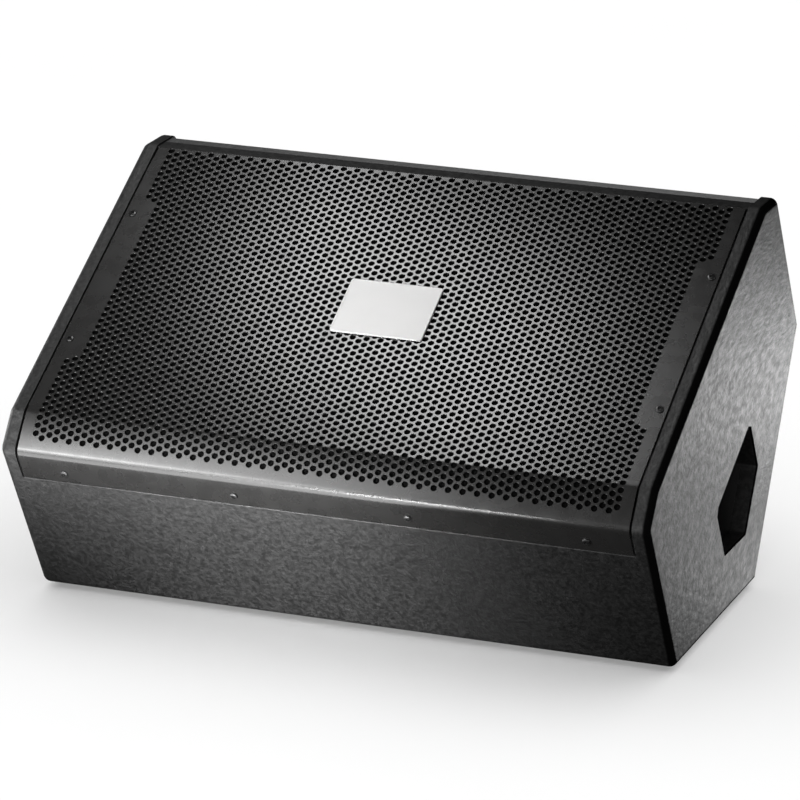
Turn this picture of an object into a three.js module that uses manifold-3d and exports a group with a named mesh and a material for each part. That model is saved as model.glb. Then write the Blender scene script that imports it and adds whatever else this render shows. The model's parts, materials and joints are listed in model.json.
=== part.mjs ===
// Stage monitor wedge: a two-way floor loudspeaker, 15 inch woofer and horn, in a painted plywood cabinet.
// Millimetres, x to the right, y to the back, z up, floor at z = 0.
import * as THREE from 'three';
import { mergeVertices } from 'three/addons/utils/BufferGeometryUtils.js';
import Module from 'manifold-3d';

const wasm = await Module();
wasm.setup();
const { Manifold } = wasm;
const DEGREES = Math.PI / 180;

// Cabinet outline, in the grille frame: x across, s up the slope of the grille, n out of it.
const WIDTH = 692;
const SLOPE = 475;
const FRONT_DEPTH = 221;
const REAR_DEPTH = 207;
const FLOOR_TILT = 29 * DEGREES;
const SECOND_TILT = 32 * DEGREES;
const CHAMFER_RUN = 40;
const CHAMFER_DROP = 19;
const REAR_DROP = 22.5;
const CORNER_ROUND = 12;
const EDGE_ROUND = 8;
const SIDE_PLY = 18;
const PANEL_PLY = 18;
const BRACE_PLY = 12;
const REAR_INSET = 4.5;
const RAIL_INSET = 1.7;
const GLUE = 0.2;

// Grille: a bent steel sheet over the baffle.
const GRILLE_STEEL = 1.5;
const GRILLE_HALF = 326;
const GRILLE_TOP = 431;
const LIP_BOTTOM = -56;
const BEND_ROUND = 9;
const FOAM_GAP = 0.5;
const FOAM_THICK = 6;
const FLANGE_SCREW_X = 318;
const FLANGE_SCREW_S = [144, 330];
const LIP_SCREW_X = [-279, -93, 93, 279];
const LIP_SCREW_N = -43.5;
const BATTEN = { width: 14, bottom: 48, pilot: 2.2, pilotDepth: 22 };
const FOAM_HALF = 313;
const BADGE = { width: 100, height: 75, s: 234, thick: 2, corner: 3 };

// Baffle and the drivers on it.
const BAFFLE_FRONT = -26;
const BAFFLE_BACK = BAFFLE_FRONT - PANEL_PLY;
const WOOFER = { x: -115, s: 218, flange: 190, cutout: 176, bolts: 183 };
const HORN = { x: 206, s: 218, half: 100, mouthX: 86, mouthS: 78, depth: 92, throat: 18 };
const PORT = { x: 206, s: [66, 371], inner: 30, wall: 4, length: 96, flange: 12 };

// Side pockets: five-sided openings shaped like the cabinet's own outline.
const POCKET = { s: 235, half: 62.5, top: -176, side: -240, depth: 52, wall: 3, flange: 12 };
const SOCKET = { s: [209, 261], n: -211, flange: 26, hole: 12.2 };
const SWITCH = { s: 235, n: -250, body: [30, 13, 14], slot: [12, 5], travel: 4 };

const FOOT = { radius: 19, height: 6, hollow: 4.5, x: 282, front: 48, back: 228 };
const ROUND_STEPS = 36;

// Frames: the grille frame tips back by the floor tilt; the floor frame sits on the feet.
const BACK_OF_FRONT_EDGE = 156.5;
const TO_WORLD = new THREE.Matrix4()
  .makeTranslation(
    0,
    -FRONT_DEPTH * Math.sin(FLOOR_TILT) - BACK_OF_FRONT_EDGE,
    FRONT_DEPTH * Math.cos(FLOOR_TILT) + FOOT.height,
  )
  .multiply(new THREE.Matrix4().makeRotationX(FLOOR_TILT));
const TO_FLOOR = new THREE.Matrix4().makeTranslation(0, -BACK_OF_FRONT_EDGE, FOOT.height);
const PROFILE_TO_SIDE = new THREE.Matrix4().makeBasis(
  new THREE.Vector3(0, 1, 0),
  new THREE.Vector3(0, 0, 1),
  new THREE.Vector3(1, 0, 0),
);

const MATERIALS = {
  textured_paint: { color: 0x1b1b1c, roughness: 0.75, metalness: 0 },
  grille_powder_coat: { color: 0x242426, roughness: 0.4, metalness: 0.4 },
  bare_ply: { color: 0xb08a5a, roughness: 0.8, metalness: 0 },
  foam: { color: 0x0b0b0b, roughness: 1, metalness: 0 },
  badge_white: { color: 0xf2f2f0, roughness: 0.35, metalness: 0 },
  black_screw: { color: 0x15151a, roughness: 0.35, metalness: 0.9 },
  cast_metal: { color: 0x2a2a2c, roughness: 0.6, metalness: 0.7 },
  plated_steel: { color: 0xa6a8aa, roughness: 0.35, metalness: 1 },
  ferrite: { color: 0x303032, roughness: 0.8, metalness: 0.1 },
  cone_paper: { color: 0x161616, roughness: 0.9, metalness: 0 },
  treated_cloth: { color: 0x1f1c1a, roughness: 0.9, metalness: 0 },
  coil_former: { color: 0x8c6b3c, roughness: 0.6, metalness: 0 },
  copper_wire: { color: 0xb5652c, roughness: 0.35, metalness: 1 },
  titanium: { color: 0x9b9a98, roughness: 0.3, metalness: 1 },
  black_plastic: { color: 0x141414, roughness: 0.5, metalness: 0 },
  circuit_board: { color: 0x2d5a34, roughness: 0.6, metalness: 0 },
  capacitor_film: { color: 0xc9a227, roughness: 0.4, metalness: 0 },
  rubber: { color: 0x101010, roughness: 0.95, metalness: 0 },
};

const group = new THREE.Group();
const shared = {};

function materialFor(slot) {
  if (!shared[slot]) {
    shared[slot] = new THREE.MeshStandardMaterial(MATERIALS[slot]);
    shared[slot].name = slot;
  }
  return shared[slot];
}

// Turns any closed geometry into a boolean-ready solid, facing outwards.
function toSolid(geometry) {
  const bare = geometry.clone();
  bare.deleteAttribute('normal');
  bare.deleteAttribute('uv');
  const merged = mergeVertices(bare, 1e-4);
  const position = merged.attributes.position;
  const index = merged.index.array;
  const corner = [new THREE.Vector3(), new THREE.Vector3(), new THREE.Vector3()];
  let triangles = [];
  let volume = 0;
  for (let i = 0; i < index.length; i += 3) {
    const [a, b, c] = [index[i], index[i + 1], index[i + 2]];
    if (a === b || b === c || c === a) continue;
    corner[0].fromBufferAttribute(position, a);
    corner[1].fromBufferAttribute(position, b);
    corner[2].fromBufferAttribute(position, c);
    volume += corner[0].dot(corner[1].cross(corner[2]));
    triangles.push([a, b, c]);
  }
  if (volume < 0) triangles = triangles.map(([a, b, c]) => [a, c, b]);
  const mesh = new wasm.Mesh({
    numProp: 3,
    vertProperties: Float32Array.from(position.array),
    triVerts: Uint32Array.from(triangles.flat()),
  });
  return new Manifold(mesh);
}

function addPart(name, slot, solid, frame) {
  const mesh = solid.getMesh();
  const geometry = new THREE.BufferGeometry();
  geometry.setAttribute('position', new THREE.BufferAttribute(mesh.vertProperties, 3));
  geometry.setIndex(new THREE.BufferAttribute(mesh.triVerts, 1));
  geometry.applyMatrix4(frame);
  geometry.computeVertexNormals();
  const part = new THREE.Mesh(geometry, materialFor(slot));
  part.name = name;
  group.add(part);
}

// Rounds the corners of a polygon; each corner is [x, y] or [x, y, radius].
function rounded(corners, steps = 4) {
  const points = [];
  corners.forEach(([x, y, radius], i) => {
    const here = new THREE.Vector2(x, y);
    const before = corners[(i + corners.length - 1) % corners.length];
    const after = corners[(i + 1) % corners.length];
    if (!radius) {
      points.push(here);
      return;
    }
    const inward = new THREE.Vector2(before[0], before[1]).sub(here).normalize();
    const outward = new THREE.Vector2(after[0], after[1]).sub(here).normalize();
    const half = Math.acos(inward.dot(outward)) / 2;
    const start = here.clone().addScaledVector(inward, radius / Math.tan(half));
    const end = here.clone().addScaledVector(outward, radius / Math.tan(half));
    const middle = inward.clone().add(outward).normalize();
    const centre = here.clone().addScaledVector(middle, radius / Math.sin(half));
    const from = start.sub(centre);
    const to = end.sub(centre);
    const turn = Math.atan2(from.cross(to), from.dot(to));
    for (let k = 0; k <= steps; k += 1) {
      const arm = from.clone().rotateAround(new THREE.Vector2(), (turn * k) / steps);
      points.push(arm.add(centre));
    }
  });
  return points;
}

// Extrudes an outline in x and y along z, from z0 to z1.
function plate(outline, z0, z1) {
  const shape = new THREE.Shape(outline);
  const geometry = new THREE.ExtrudeGeometry(shape, { depth: z1 - z0, bevelEnabled: false });
  return geometry.translate(0, 0, z0);
}

// Extrudes an outline in s and n across the cabinet, from x0 to x1.
function across(outline, x0, x1) {
  return toSolid(plate(outline, x0, x1).applyMatrix4(PROFILE_TO_SIDE));
}

function rectangle(x, y, halfX, halfY, radius = 0) {
  return rounded([
    [x - halfX, y - halfY, radius],
    [x + halfX, y - halfY, radius],
    [x + halfX, y + halfY, radius],
    [x - halfX, y + halfY, radius],
  ]);
}

function block(x0, x1, y0, y1, z0, z1) {
  const box = new THREE.BoxGeometry(x1 - x0, y1 - y0, z1 - z0);
  return toSolid(box.translate((x0 + x1) / 2, (y0 + y1) / 2, (z0 + z1) / 2));
}

// A turned body about the n axis at (x, s); the closed profile is a list of [radius, n].
function turned(profile, x, s, steps = ROUND_STEPS) {
  const closed = [...profile, profile[0]].map(([radius, n]) => new THREE.Vector2(radius, n));
  const lathe = new THREE.LatheGeometry(closed, steps).rotateX(Math.PI / 2);
  return toSolid(lathe.translate(x, s, 0));
}

function rod(radius, x, s, n0, n1, steps = 24) {
  return turned([[0, n0], [radius, n0], [radius, n1], [0, n1]], x, s, steps);
}

function floorLine(s) {
  return -FRONT_DEPTH - s * Math.tan(FLOOR_TILT);
}

function secondLine(s) {
  return -REAR_DEPTH - (SLOPE - s) * Math.tan(SECOND_TILT);
}

const KEEL_S =
  (REAR_DEPTH - FRONT_DEPTH + SLOPE * Math.tan(SECOND_TILT)) /
  (Math.tan(FLOOR_TILT) + Math.tan(SECOND_TILT));
const INNER_X = WIDTH / 2 - SIDE_PLY;
const FLOOR_RISE = PANEL_PLY / Math.cos(FLOOR_TILT);
const SECOND_RISE = PANEL_PLY / Math.cos(SECOND_TILT);
const SECOND_INSET = REAR_INSET / Math.cos(SECOND_TILT);

function cabinetOutline() {
  return rounded([
    [0, -FRONT_DEPTH, CORNER_ROUND],
    [KEEL_S, floorLine(KEEL_S)],
    [SLOPE, -REAR_DEPTH],
    [SLOPE, -REAR_DROP, CORNER_ROUND],
    [SLOPE - CHAMFER_RUN, 0],
    [CHAMFER_RUN, 0],
    [0, -CHAMFER_DROP, CORNER_ROUND],
  ]);
}

// The pocket outline, grown outwards by some margin.
function pocketOutline(grow) {
  const { s, half, top, side } = POCKET;
  const reach = half + grow;
  const slope = Math.tan(30 * DEGREES);
  const apex = side - half * slope - grow / Math.cos(30 * DEGREES);
  return rounded(
    [
      [s - reach, apex + reach * slope, 4],
      [s, apex, 4],
      [s + reach, apex + reach * slope, 4],
      [s + reach, top + grow - 7],
      [s + reach - 7, top + grow],
      [s - reach + 7, top + grow],
      [s - reach, top + grow - 7],
    ],
    2,
  );
}

// Side panel: the outer edges are rounded over, the inner face is cut flat.
function sidePanel(side) {
  const rough = new THREE.ExtrudeGeometry(new THREE.Shape(cabinetOutline()), {
    depth: SIDE_PLY,
    bevelThickness: EDGE_ROUND,
    bevelSize: EDGE_ROUND,
    bevelOffset: -EDGE_ROUND,
    bevelSegments: 4,
  });
  rough.applyMatrix4(PROFILE_TO_SIDE);
  const outer = WIDTH / 2;
  rough.translate(side > 0 ? outer - SIDE_PLY - EDGE_ROUND : EDGE_ROUND - outer, 0, 0);
  const inner = Math.sign(side) * INNER_X;
  const far = Math.sign(side) * (outer + 1);
  const keep = block(Math.min(inner, far), Math.max(inner, far), -1, SLOPE + 1, -400, 1);
  const hole = across(pocketOutline(0), Math.min(inner, far), Math.max(inner, far));
  return toSolid(rough).intersect(keep).subtract(hole);
}

function frontPanel() {
  const rebate = GRILLE_STEEL + 0.5;
  let panel = across(
    rounded([
      [0, LIP_BOTTOM - 1.2],
      [0, -FRONT_DEPTH, CORNER_ROUND],
      [PANEL_PLY, floorLine(PANEL_PLY)],
      [PANEL_PLY, BAFFLE_FRONT - 1],
      [rebate, BAFFLE_FRONT - 1],
      [rebate, LIP_BOTTOM - 1.2],
    ]),
    -INNER_X + GLUE,
    INNER_X - GLUE,
  );
  LIP_SCREW_X.forEach((x) => {
    panel = panel.subtract(lipHole(2.2, x));
  });
  return panel;
}

// A hole through the front, square to the lip, for one lip screw.
function lipHole(radius, x) {
  const cylinder = new THREE.CylinderGeometry(radius, radius, 44, 16);
  return toSolid(cylinder.translate(x, 0, LIP_SCREW_N));
}

function bottomPanel() {
  const start = PANEL_PLY + GLUE;
  const end = KEEL_S - GLUE / 2;
  const outline = [
    [start, floorLine(start)],
    [end, floorLine(end)],
    [end, floorLine(end) + FLOOR_RISE],
    [start, floorLine(start) + FLOOR_RISE],
  ];
  return across(rounded(outline), -INNER_X + GLUE, INNER_X - GLUE);
}

function secondFloorPanel() {
  const start = KEEL_S + GLUE / 2;
  const end = SLOPE - REAR_INSET - PANEL_PLY - GLUE;
  const outline = [
    [start, secondLine(start) + SECOND_INSET],
    [end, secondLine(end) + SECOND_INSET],
    [end, secondLine(end) + SECOND_INSET + SECOND_RISE],
    [start, secondLine(start) + SECOND_INSET + SECOND_RISE],
  ];
  return across(rounded(outline), -INNER_X + GLUE, INNER_X - GLUE);
}

const REAR_FACE = SLOPE - REAR_INSET;

function chamferLine(s) {
  const slope = REAR_DROP / CHAMFER_RUN;
  const inset = RAIL_INSET * Math.hypot(1, slope);
  return -(s - SLOPE + CHAMFER_RUN) * slope - inset;
}

function rearPanel() {
  const inner = REAR_FACE - PANEL_PLY;
  const outline = [
    [inner, secondLine(inner) + SECOND_INSET],
    [REAR_FACE, secondLine(REAR_FACE) + SECOND_INSET],
    [REAR_FACE, chamferLine(REAR_FACE), 10],
    [inner, chamferLine(inner)],
  ];
  return across(rounded(outline), -INNER_X + GLUE, INNER_X - GLUE);
}

// Top rail: carries the grille's upper edge and closes the bevel above it.
function topRail() {
  const back = REAR_FACE - PANEL_PLY - GLUE;
  const front = GRILLE_TOP + 1;
  const shelf = -GRILLE_STEEL - 2.5;
  const outline = [
    [GRILLE_TOP - 14, BAFFLE_FRONT + GLUE],
    [back, BAFFLE_FRONT + GLUE],
    [back, chamferLine(back)],
    [front, chamferLine(front)],
    [front, shelf],
    [GRILLE_TOP - 14, shelf],
  ];
  return across(rounded(outline), -INNER_X + GLUE, INNER_X - GLUE);
}

// Battens along both sides, for the grille's flange screws.
function grilleBatten(side) {
  const outer = INNER_X - GLUE;
  const inner = outer - BATTEN.width;
  const x0 = side > 0 ? inner : -outer;
  const x1 = side > 0 ? outer : -inner;
  const front = -GRILLE_STEEL - FOAM_GAP;
  let batten = block(x0, x1, BATTEN.bottom, GRILLE_TOP - 15, BAFFLE_FRONT + GLUE, front);
  FLANGE_SCREW_S.forEach((s) => {
    batten = batten.subtract(rod(BATTEN.pilot, side * FLANGE_SCREW_X, s, -BATTEN.pilotDepth, 1, 16));
  });
  return batten;
}

function baffleBoard() {
  const bottom = PANEL_PLY + GLUE;
  const top = REAR_FACE - PANEL_PLY - GLUE;
  const half = INNER_X - GLUE;
  const outline = rectangle(0, (bottom + top) / 2, half, (top - bottom) / 2);
  let board = toSolid(plate(outline, BAFFLE_BACK, BAFFLE_FRONT));
  board = board.subtract(rod(WOOFER.cutout, WOOFER.x, WOOFER.s, BAFFLE_BACK - 1, BAFFLE_FRONT + 1, 60));
  const mouth = rectangle(HORN.x, HORN.s, HORN.mouthX + 4, HORN.mouthS + 4, 6);
  board = board.subtract(toSolid(plate(mouth, BAFFLE_BACK - 1, BAFFLE_FRONT + 1)));
  PORT.s.forEach((s) => {
    const radius = PORT.inner + PORT.wall + 0.3;
    board = board.subtract(rod(radius, PORT.x, s, BAFFLE_BACK - 1, BAFFLE_FRONT + 1, 40));
  });
  wooferScrewSpots().forEach(([x, s]) => {
    board = board.subtract(rod(2.6, x, s, BAFFLE_BACK - 1, BAFFLE_FRONT + 1, 12));
  });
  hornScrewSpots().forEach(([x, s]) => {
    board = board.subtract(rod(2.2, x, s, BAFFLE_BACK - 1, BAFFLE_FRONT + 1, 12));
  });
  return board;
}

// Window brace between the woofer and the horn.
function centreBrace() {
  const front = PANEL_PLY + GLUE;
  const back = REAR_FACE - PANEL_PLY - GLUE;
  const top = BAFFLE_BACK - GLUE;
  const outline = [
    [front, floorLine(front) + FLOOR_RISE + GLUE],
    [KEEL_S, floorLine(KEEL_S) + SECOND_RISE + SECOND_INSET + GLUE],
    [back, secondLine(back) + SECOND_INSET + SECOND_RISE + GLUE],
    [back, top],
    [front, top],
  ];
  const rim = 42;
  const window = [
    [front + rim, floorLine(front + rim) + FLOOR_RISE + rim, 20],
    [KEEL_S, floorLine(KEEL_S) + FLOOR_RISE + rim, 20],
    [back - rim, secondLine(back - rim) + SECOND_RISE + rim, 20],
    [back - rim, top - rim, 20],
    [front + rim, top - rim, 20],
  ];
  const x0 = 78;
  const x1 = x0 + BRACE_PLY;
  return across(rounded(outline), x0, x1).subtract(across(rounded(window), x0 - 1, x1 + 1));
}

// The grille sheet: flat field, bevel at the bottom, rolled edge and screwed lip.
function grilleProfile() {
  const t = GRILLE_STEEL;
  const slope = CHAMFER_DROP / CHAMFER_RUN;
  const drop = t * Math.hypot(1, slope);
  return rounded(
    [
      [0, LIP_BOTTOM],
      [t, LIP_BOTTOM],
      [t, -CHAMFER_DROP + slope * t - drop, BEND_ROUND - t],
      [CHAMFER_RUN + (drop - t) / slope, -t, 4],
      [GRILLE_TOP, -t],
      [GRILLE_TOP, 0],
      [CHAMFER_RUN, 0, 4],
      [0, -CHAMFER_DROP, BEND_ROUND],
    ],
    5,
  );
}

function grille() {
  let sheet = across(grilleProfile(), -GRILLE_HALF, GRILLE_HALF);
  [-1, 1].forEach((side) => {
    FLANGE_SCREW_S.forEach((s) => {
      sheet = sheet.subtract(rod(2.4, side * FLANGE_SCREW_X, s, -5, 5, 16));
    });
  });
  LIP_SCREW_X.forEach((x) => {
    sheet = sheet.subtract(lipHole(2.4, x));
  });
  return sheet;
}

function grilleFoam() {
  const top = -GRILLE_STEEL - FOAM_GAP;
  const slope = CHAMFER_DROP / CHAMFER_RUN;
  const outline = [
    [6, -CHAMFER_DROP - 6],
    [CHAMFER_RUN + 2, top - FOAM_THICK],
    [GRILLE_TOP - 16, top - FOAM_THICK],
    [GRILLE_TOP - 16, top],
    [CHAMFER_RUN, top - 1],
    [8, -CHAMFER_DROP + slope * 8 - 2.8],
  ];
  return across(rounded(outline), -FOAM_HALF, FOAM_HALF);
}

function badgePlate() {
  const { width, height, s, thick, corner } = BADGE;
  return toSolid(plate(rectangle(0, s, width / 2, height / 2, corner), GLUE, GLUE + thick));
}

// Pan-head screw standing on the surface n = 0, shank into the wood.
function screwProfile(head, height, shank, length) {
  return [
    [0, 0.1 + height],
    [head * 0.55, 0.1 + height * 0.92],
    [head, 0.1 + height * 0.35],
    [head, 0.1],
    [shank, 0.1],
    [shank, -length + 1.5],
    [0, -length],
  ];
}

function crossSlot(size, depth, top) {
  const along = new THREE.BoxGeometry(size, size * 0.22, depth).translate(0, 0, top);
  const over = new THREE.BoxGeometry(size * 0.22, size, depth).translate(0, 0, top);
  return toSolid(along).add(toSolid(over));
}

function screw(head, height, shank, length) {
  const body = turned(screwProfile(head, height, shank, length), 0, 0, 12);
  return body.subtract(crossSlot(head * 1.1, height, height * 1.1));
}

function moved(x, y, z) {
  return new THREE.Matrix4().makeTranslation(x, y, z);
}

function inWorld(local) {
  return TO_WORLD.clone().multiply(local);
}

function wooferScrewSpots() {
  return [45, 135, 225, 315].map((angle) => [
    WOOFER.x + WOOFER.bolts * Math.cos(angle * DEGREES),
    WOOFER.s + WOOFER.bolts * Math.sin(angle * DEGREES),
  ]);
}

function hornScrewSpots() {
  const reach = HORN.half - 7;
  return [[-1, -1], [1, -1], [1, 1], [-1, 1]].map(([a, b]) => [HORN.x + a * reach, HORN.s + b * reach]);
}

// Woofer heights below are measured from the baffle's front face.
function wooferRing(profile) {
  return turned(profile.map(([radius, z]) => [radius, z + BAFFLE_FRONT]), WOOFER.x, WOOFER.s);
}

function wooferBasket() {
  let basket = wooferRing([
    [174.5, 0.3],
    [WOOFER.flange, 0.3],
    [WOOFER.flange, 5.3],
    [168, 5.3],
    [168, -2],
    [104, -70],
    [80, -84],
    [44, -84],
    [44, -92],
    [96, -92],
    [112, -72],
    [174.5, -4],
  ]);
  for (let k = 0; k < 6; k += 1) {
    const window = new THREE.BoxGeometry(54, 60, 44).translate(143, 0, -42 + BAFFLE_FRONT);
    window.rotateZ((k + 0.5) * 60 * DEGREES);
    basket = basket.subtract(toSolid(window.translate(WOOFER.x, WOOFER.s, 0)));
  }
  wooferScrewSpots().forEach(([x, s]) => {
    basket = basket.subtract(rod(3, x, s, BAFFLE_FRONT - 1, BAFFLE_FRONT + 6, 12));
  });
  return basket;
}

function wooferGasket() {
  return wooferRing([[169, 5.5], [178, 5.5], [178, 8.5], [169, 8.5]]);
}

// Half-roll surround between the cone's edge and the basket rim.
function wooferSurround() {
  const middle = 159;
  const profile = [];
  const steps = 6;
  for (let k = 0; k <= steps; k += 1) {
    const angle = Math.PI - (k * Math.PI) / steps;
    profile.push([middle + 8 * Math.cos(angle), 2 + 7 * Math.sin(angle)]);
  }
  for (let k = steps; k >= 0; k -= 1) {
    const angle = Math.PI - (k * Math.PI) / steps;
    profile.push([middle + 6.8 * Math.cos(angle), 2 + 5.8 * Math.sin(angle)]);
  }
  return wooferRing(profile);
}

function wooferCone() {
  return wooferRing([
    [150.4, 1],
    [150.4, 3],
    [148, 3],
    [40.3, -56],
    [40.3, -62],
    [42, -62],
    [42, -57],
    [148.8, 1],
  ]);
}

function dustCap() {
  return wooferRing([
    [0, -31],
    [26, -34],
    [48, -43],
    [58, -44.8],
    [57.4, -46],
    [47, -44.2],
    [25, -35.4],
    [0, -32.4],
  ]);
}

function coilFormer() {
  return wooferRing([[38.2, -58], [39.6, -58], [39.6, -110], [38.2, -110]]);
}

function voiceCoil() {
  return wooferRing([[39.8, -86], [40.9, -86], [40.9, -109], [39.8, -109]]);
}

// Corrugated spider between the coil former and the basket shelf.
function wooferSpider() {
  const top = [];
  const under = [];
  const steps = 6;
  for (let k = 0; k <= steps; k += 1) {
    const radius = 42.6 + (k * 36) / steps;
    const wave = k % 2 === 0 ? -1.2 : 1.2;
    top.push([radius, -76 + wave]);
    under.unshift([radius, -77 + wave]);
  }
  return wooferRing([...top, ...under]);
}

function topPlate() {
  return wooferRing([[41.9, -92.3], [88, -92.3], [88, -100.3], [41.9, -100.3]]);
}

function magnetRing() {
  return wooferRing([[54, -100.6], [97, -100.6], [99, -102.6], [99, -118.6], [97, -120.6], [54, -120.6]]);
}

function magnetYoke() {
  return wooferRing([
    [14, -92],
    [37.2, -92],
    [37.2, -120.9],
    [88, -120.9],
    [88, -128.9],
    [14, -128.9],
  ]);
}

// Loft between the rectangular mouth and the round throat of the horn.
function hornLoft(mouthX, mouthS, throat, nMouth, nThroat) {
  const rings = 6;
  const around = 24;
  const positions = [];
  const index = [];
  for (let i = 0; i <= rings; i += 1) {
    const u = i / rings;
    const flare = (1 - u) ** 1.6;
    const square = 2 + 6 * (1 - u);
    const halfX = throat + (mouthX - throat) * flare;
    const halfS = throat + (mouthS - throat) * flare;
    for (let k = 0; k < around; k += 1) {
      const angle = (k * 2 * Math.PI) / around;
      const c = Math.cos(angle);
      const d = Math.sin(angle);
      const reach = (Math.abs(c) ** square + Math.abs(d) ** square) ** (-1 / square);
      positions.push(HORN.x + halfX * reach * c, HORN.s + halfS * reach * d, nMouth + (nThroat - nMouth) * u);
    }
  }
  for (let i = 0; i < rings; i += 1) {
    for (let k = 0; k < around; k += 1) {
      const a = i * around + k;
      const b = i * around + ((k + 1) % around);
      index.push(a, b, a + around, b, b + around, a + around);
    }
  }
  const mouthCentre = positions.length / 3;
  positions.push(HORN.x, HORN.s, nMouth);
  positions.push(HORN.x, HORN.s, nThroat);
  for (let k = 0; k < around; k += 1) {
    const next = (k + 1) % around;
    index.push(mouthCentre, next, k);
    index.push(mouthCentre + 1, rings * around + k, rings * around + next);
  }
  const geometry = new THREE.BufferGeometry();
  geometry.setAttribute('position', new THREE.Float32BufferAttribute(positions, 3));
  geometry.setIndex(index);
  return toSolid(geometry);
}

function horn() {
  const front = BAFFLE_FRONT + GLUE;
  const back = BAFFLE_FRONT - HORN.depth;
  const wall = 3;
  const flange = toSolid(plate(rectangle(HORN.x, HORN.s, HORN.half, HORN.half, 8), front, front + 4));
  const outer = hornLoft(HORN.mouthX + wall, HORN.mouthS + wall, HORN.throat + wall, front + 2, back);
  const inner = hornLoft(HORN.mouthX, HORN.mouthS, HORN.throat, front + 4.01, back - 0.01);
  const boss = rod(38, HORN.x, HORN.s, back, back + 7, 40);
  let body = flange.add(outer).add(boss).subtract(inner);
  hornScrewSpots().forEach(([x, s]) => {
    body = body.subtract(rod(2.6, x, s, front - 1, front + 5, 12));
  });
  return body;
}

const DRIVER_FRONT = BAFFLE_FRONT - HORN.depth - GLUE;

function driverRing(profile) {
  return turned(profile.map(([radius, z]) => [radius, z + DRIVER_FRONT]), HORN.x, HORN.s, 28);
}

// Compression driver body, open at the back for the diaphragm.
function driverBody() {
  return driverRing([
    [HORN.throat, 0],
    [40, 0],
    [54, -6],
    [54, -42],
    [34, -42],
    [34, -30],
    [HORN.throat, -30],
  ]);
}

function driverDiaphragm() {
  return driverRing([
    [0, -41],
    [12, -39.5],
    [24, -35],
    [31, -34.4],
    [31, -35],
    [24.2, -35.7],
    [12, -40.2],
    [0, -41.7],
  ]);
}

function driverCover() {
  return driverRing([
    [0, -58],
    [44, -58],
    [50, -52],
    [50, -42.3],
    [36, -42.3],
    [36, -50],
    [0, -50],
  ]);
}

function portTube(s) {
  const { x, inner, wall, length, flange } = PORT;
  const front = BAFFLE_FRONT;
  return turned([
    [inner, front - length],
    [inner, front - 10],
    [inner + 1.5, front - 2],
    [inner + 5, front + 3.3],
    [inner + flange, front + 2.3],
    [inner + flange, front + 0.3],
    [inner + wall, front + 0.3],
    [inner + wall, front - length],
  ], x, s, 32);
}

// Pocket cup behind a side opening: flange, walls and back.
function pocketCup(side, fittings) {
  const { depth, wall, flange } = POCKET;
  const open = INNER_X - GLUE;
  const back = open - depth;
  let cup = across(pocketOutline(flange), open - wall, open);
  cup = cup.add(across(pocketOutline(0.5 + wall), back - wall, open - wall / 2));
  cup = cup.subtract(across(pocketOutline(0.5), back, open + 1));
  if (fittings) {
    SOCKET.s.forEach((s) => {
      cup = cup.subtract(crossCylinder(SOCKET.hole + 0.4, back - wall - 1, back + 1, s, SOCKET.n, 32));
    });
    const [long, short] = SWITCH.slot;
    cup = cup.subtract(crossBlock(back - wall - 1, back + 1, SWITCH.s, SWITCH.n, long + 4, short + 1));
  }
  return side > 0 ? cup : toSolid(mirrored(cup));
}

function mirrored(solid) {
  const mesh = solid.getMesh();
  const geometry = new THREE.BufferGeometry();
  geometry.setAttribute('position', new THREE.BufferAttribute(mesh.vertProperties, 3));
  geometry.setIndex(new THREE.BufferAttribute(mesh.triVerts, 1));
  return geometry.scale(-1, 1, 1);
}

function crossCylinder(radius, x0, x1, s, n, steps = 32) {
  const cylinder = new THREE.CylinderGeometry(radius, radius, x1 - x0, steps).rotateZ(Math.PI / 2);
  return toSolid(cylinder.translate((x0 + x1) / 2, s, n));
}

function crossBlock(x0, x1, s, n, lengthS, lengthN) {
  return block(x0, x1, s - lengthS / 2, s + lengthS / 2, n - lengthN / 2, n + lengthN / 2);
}

const POCKET_BACK = INNER_X - GLUE - POCKET.depth;

// Four-pole loudspeaker socket: square flange, round barrel and a key slot.
function speakerSocket(s) {
  const { n, flange, hole } = SOCKET;
  const face = POCKET_BACK + GLUE;
  const outline = rectangle(s, n, flange / 2, flange / 2, 3);
  let socket = across(outline, face, face + 2.5);
  socket = socket.add(crossCylinder(hole, face - 22, face + 1, s, n));
  socket = socket.add(crossCylinder(hole - 1, face + 2, face + 5, s, n));
  socket = socket.subtract(crossCylinder(hole - 3, face - 14, face + 6, s, n));
  socket = socket.add(crossCylinder(hole - 5.5, face - 16, face + 3, s, n, 24));
  return socket.subtract(crossBlock(face + 1.5, face + 6, s, n + hole - 2, 4, 5));
}

function switchBody() {
  const [length, breadth, depth] = SWITCH.body;
  const face = POCKET_BACK - POCKET.wall - GLUE;
  const body = crossBlock(face - depth, face, SWITCH.s, SWITCH.n, length, breadth);
  const slot = SWITCH.slot[0] + 3;
  return body.subtract(crossBlock(face - 8, face + 1, SWITCH.s, SWITCH.n, slot, SWITCH.slot[1] + 0.6));
}

function switchSlider() {
  const face = POCKET_BACK - POCKET.wall;
  const start = SWITCH.s - SWITCH.travel / 2;
  const tongue = crossBlock(face - 7, face + 5, start, SWITCH.n, 4, SWITCH.slot[1] - 0.6);
  return tongue.add(crossBlock(face - 7, face - 4, start, SWITCH.n, 9, SWITCH.slot[1] - 0.6));
}

// Crossover network, standing on the bottom panel's inside.
const CROSSOVER = { x: 176, y: 118, z: PANEL_PLY + GLUE, width: 150, length: 96 };

function crossoverBoard() {
  const { x, y, z, width, length } = CROSSOVER;
  let board = block(x - width / 2, x + width / 2, y - length / 2, y + length / 2, z + 8, z + 10);
  [[-1, -1], [1, -1], [1, 1], [-1, 1]].forEach(([a, b]) => {
    board = board.add(rod(4, x + a * (width / 2 - 7), y + b * (length / 2 - 7), z, z + 8.5, 16));
  });
  return board;
}

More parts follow.
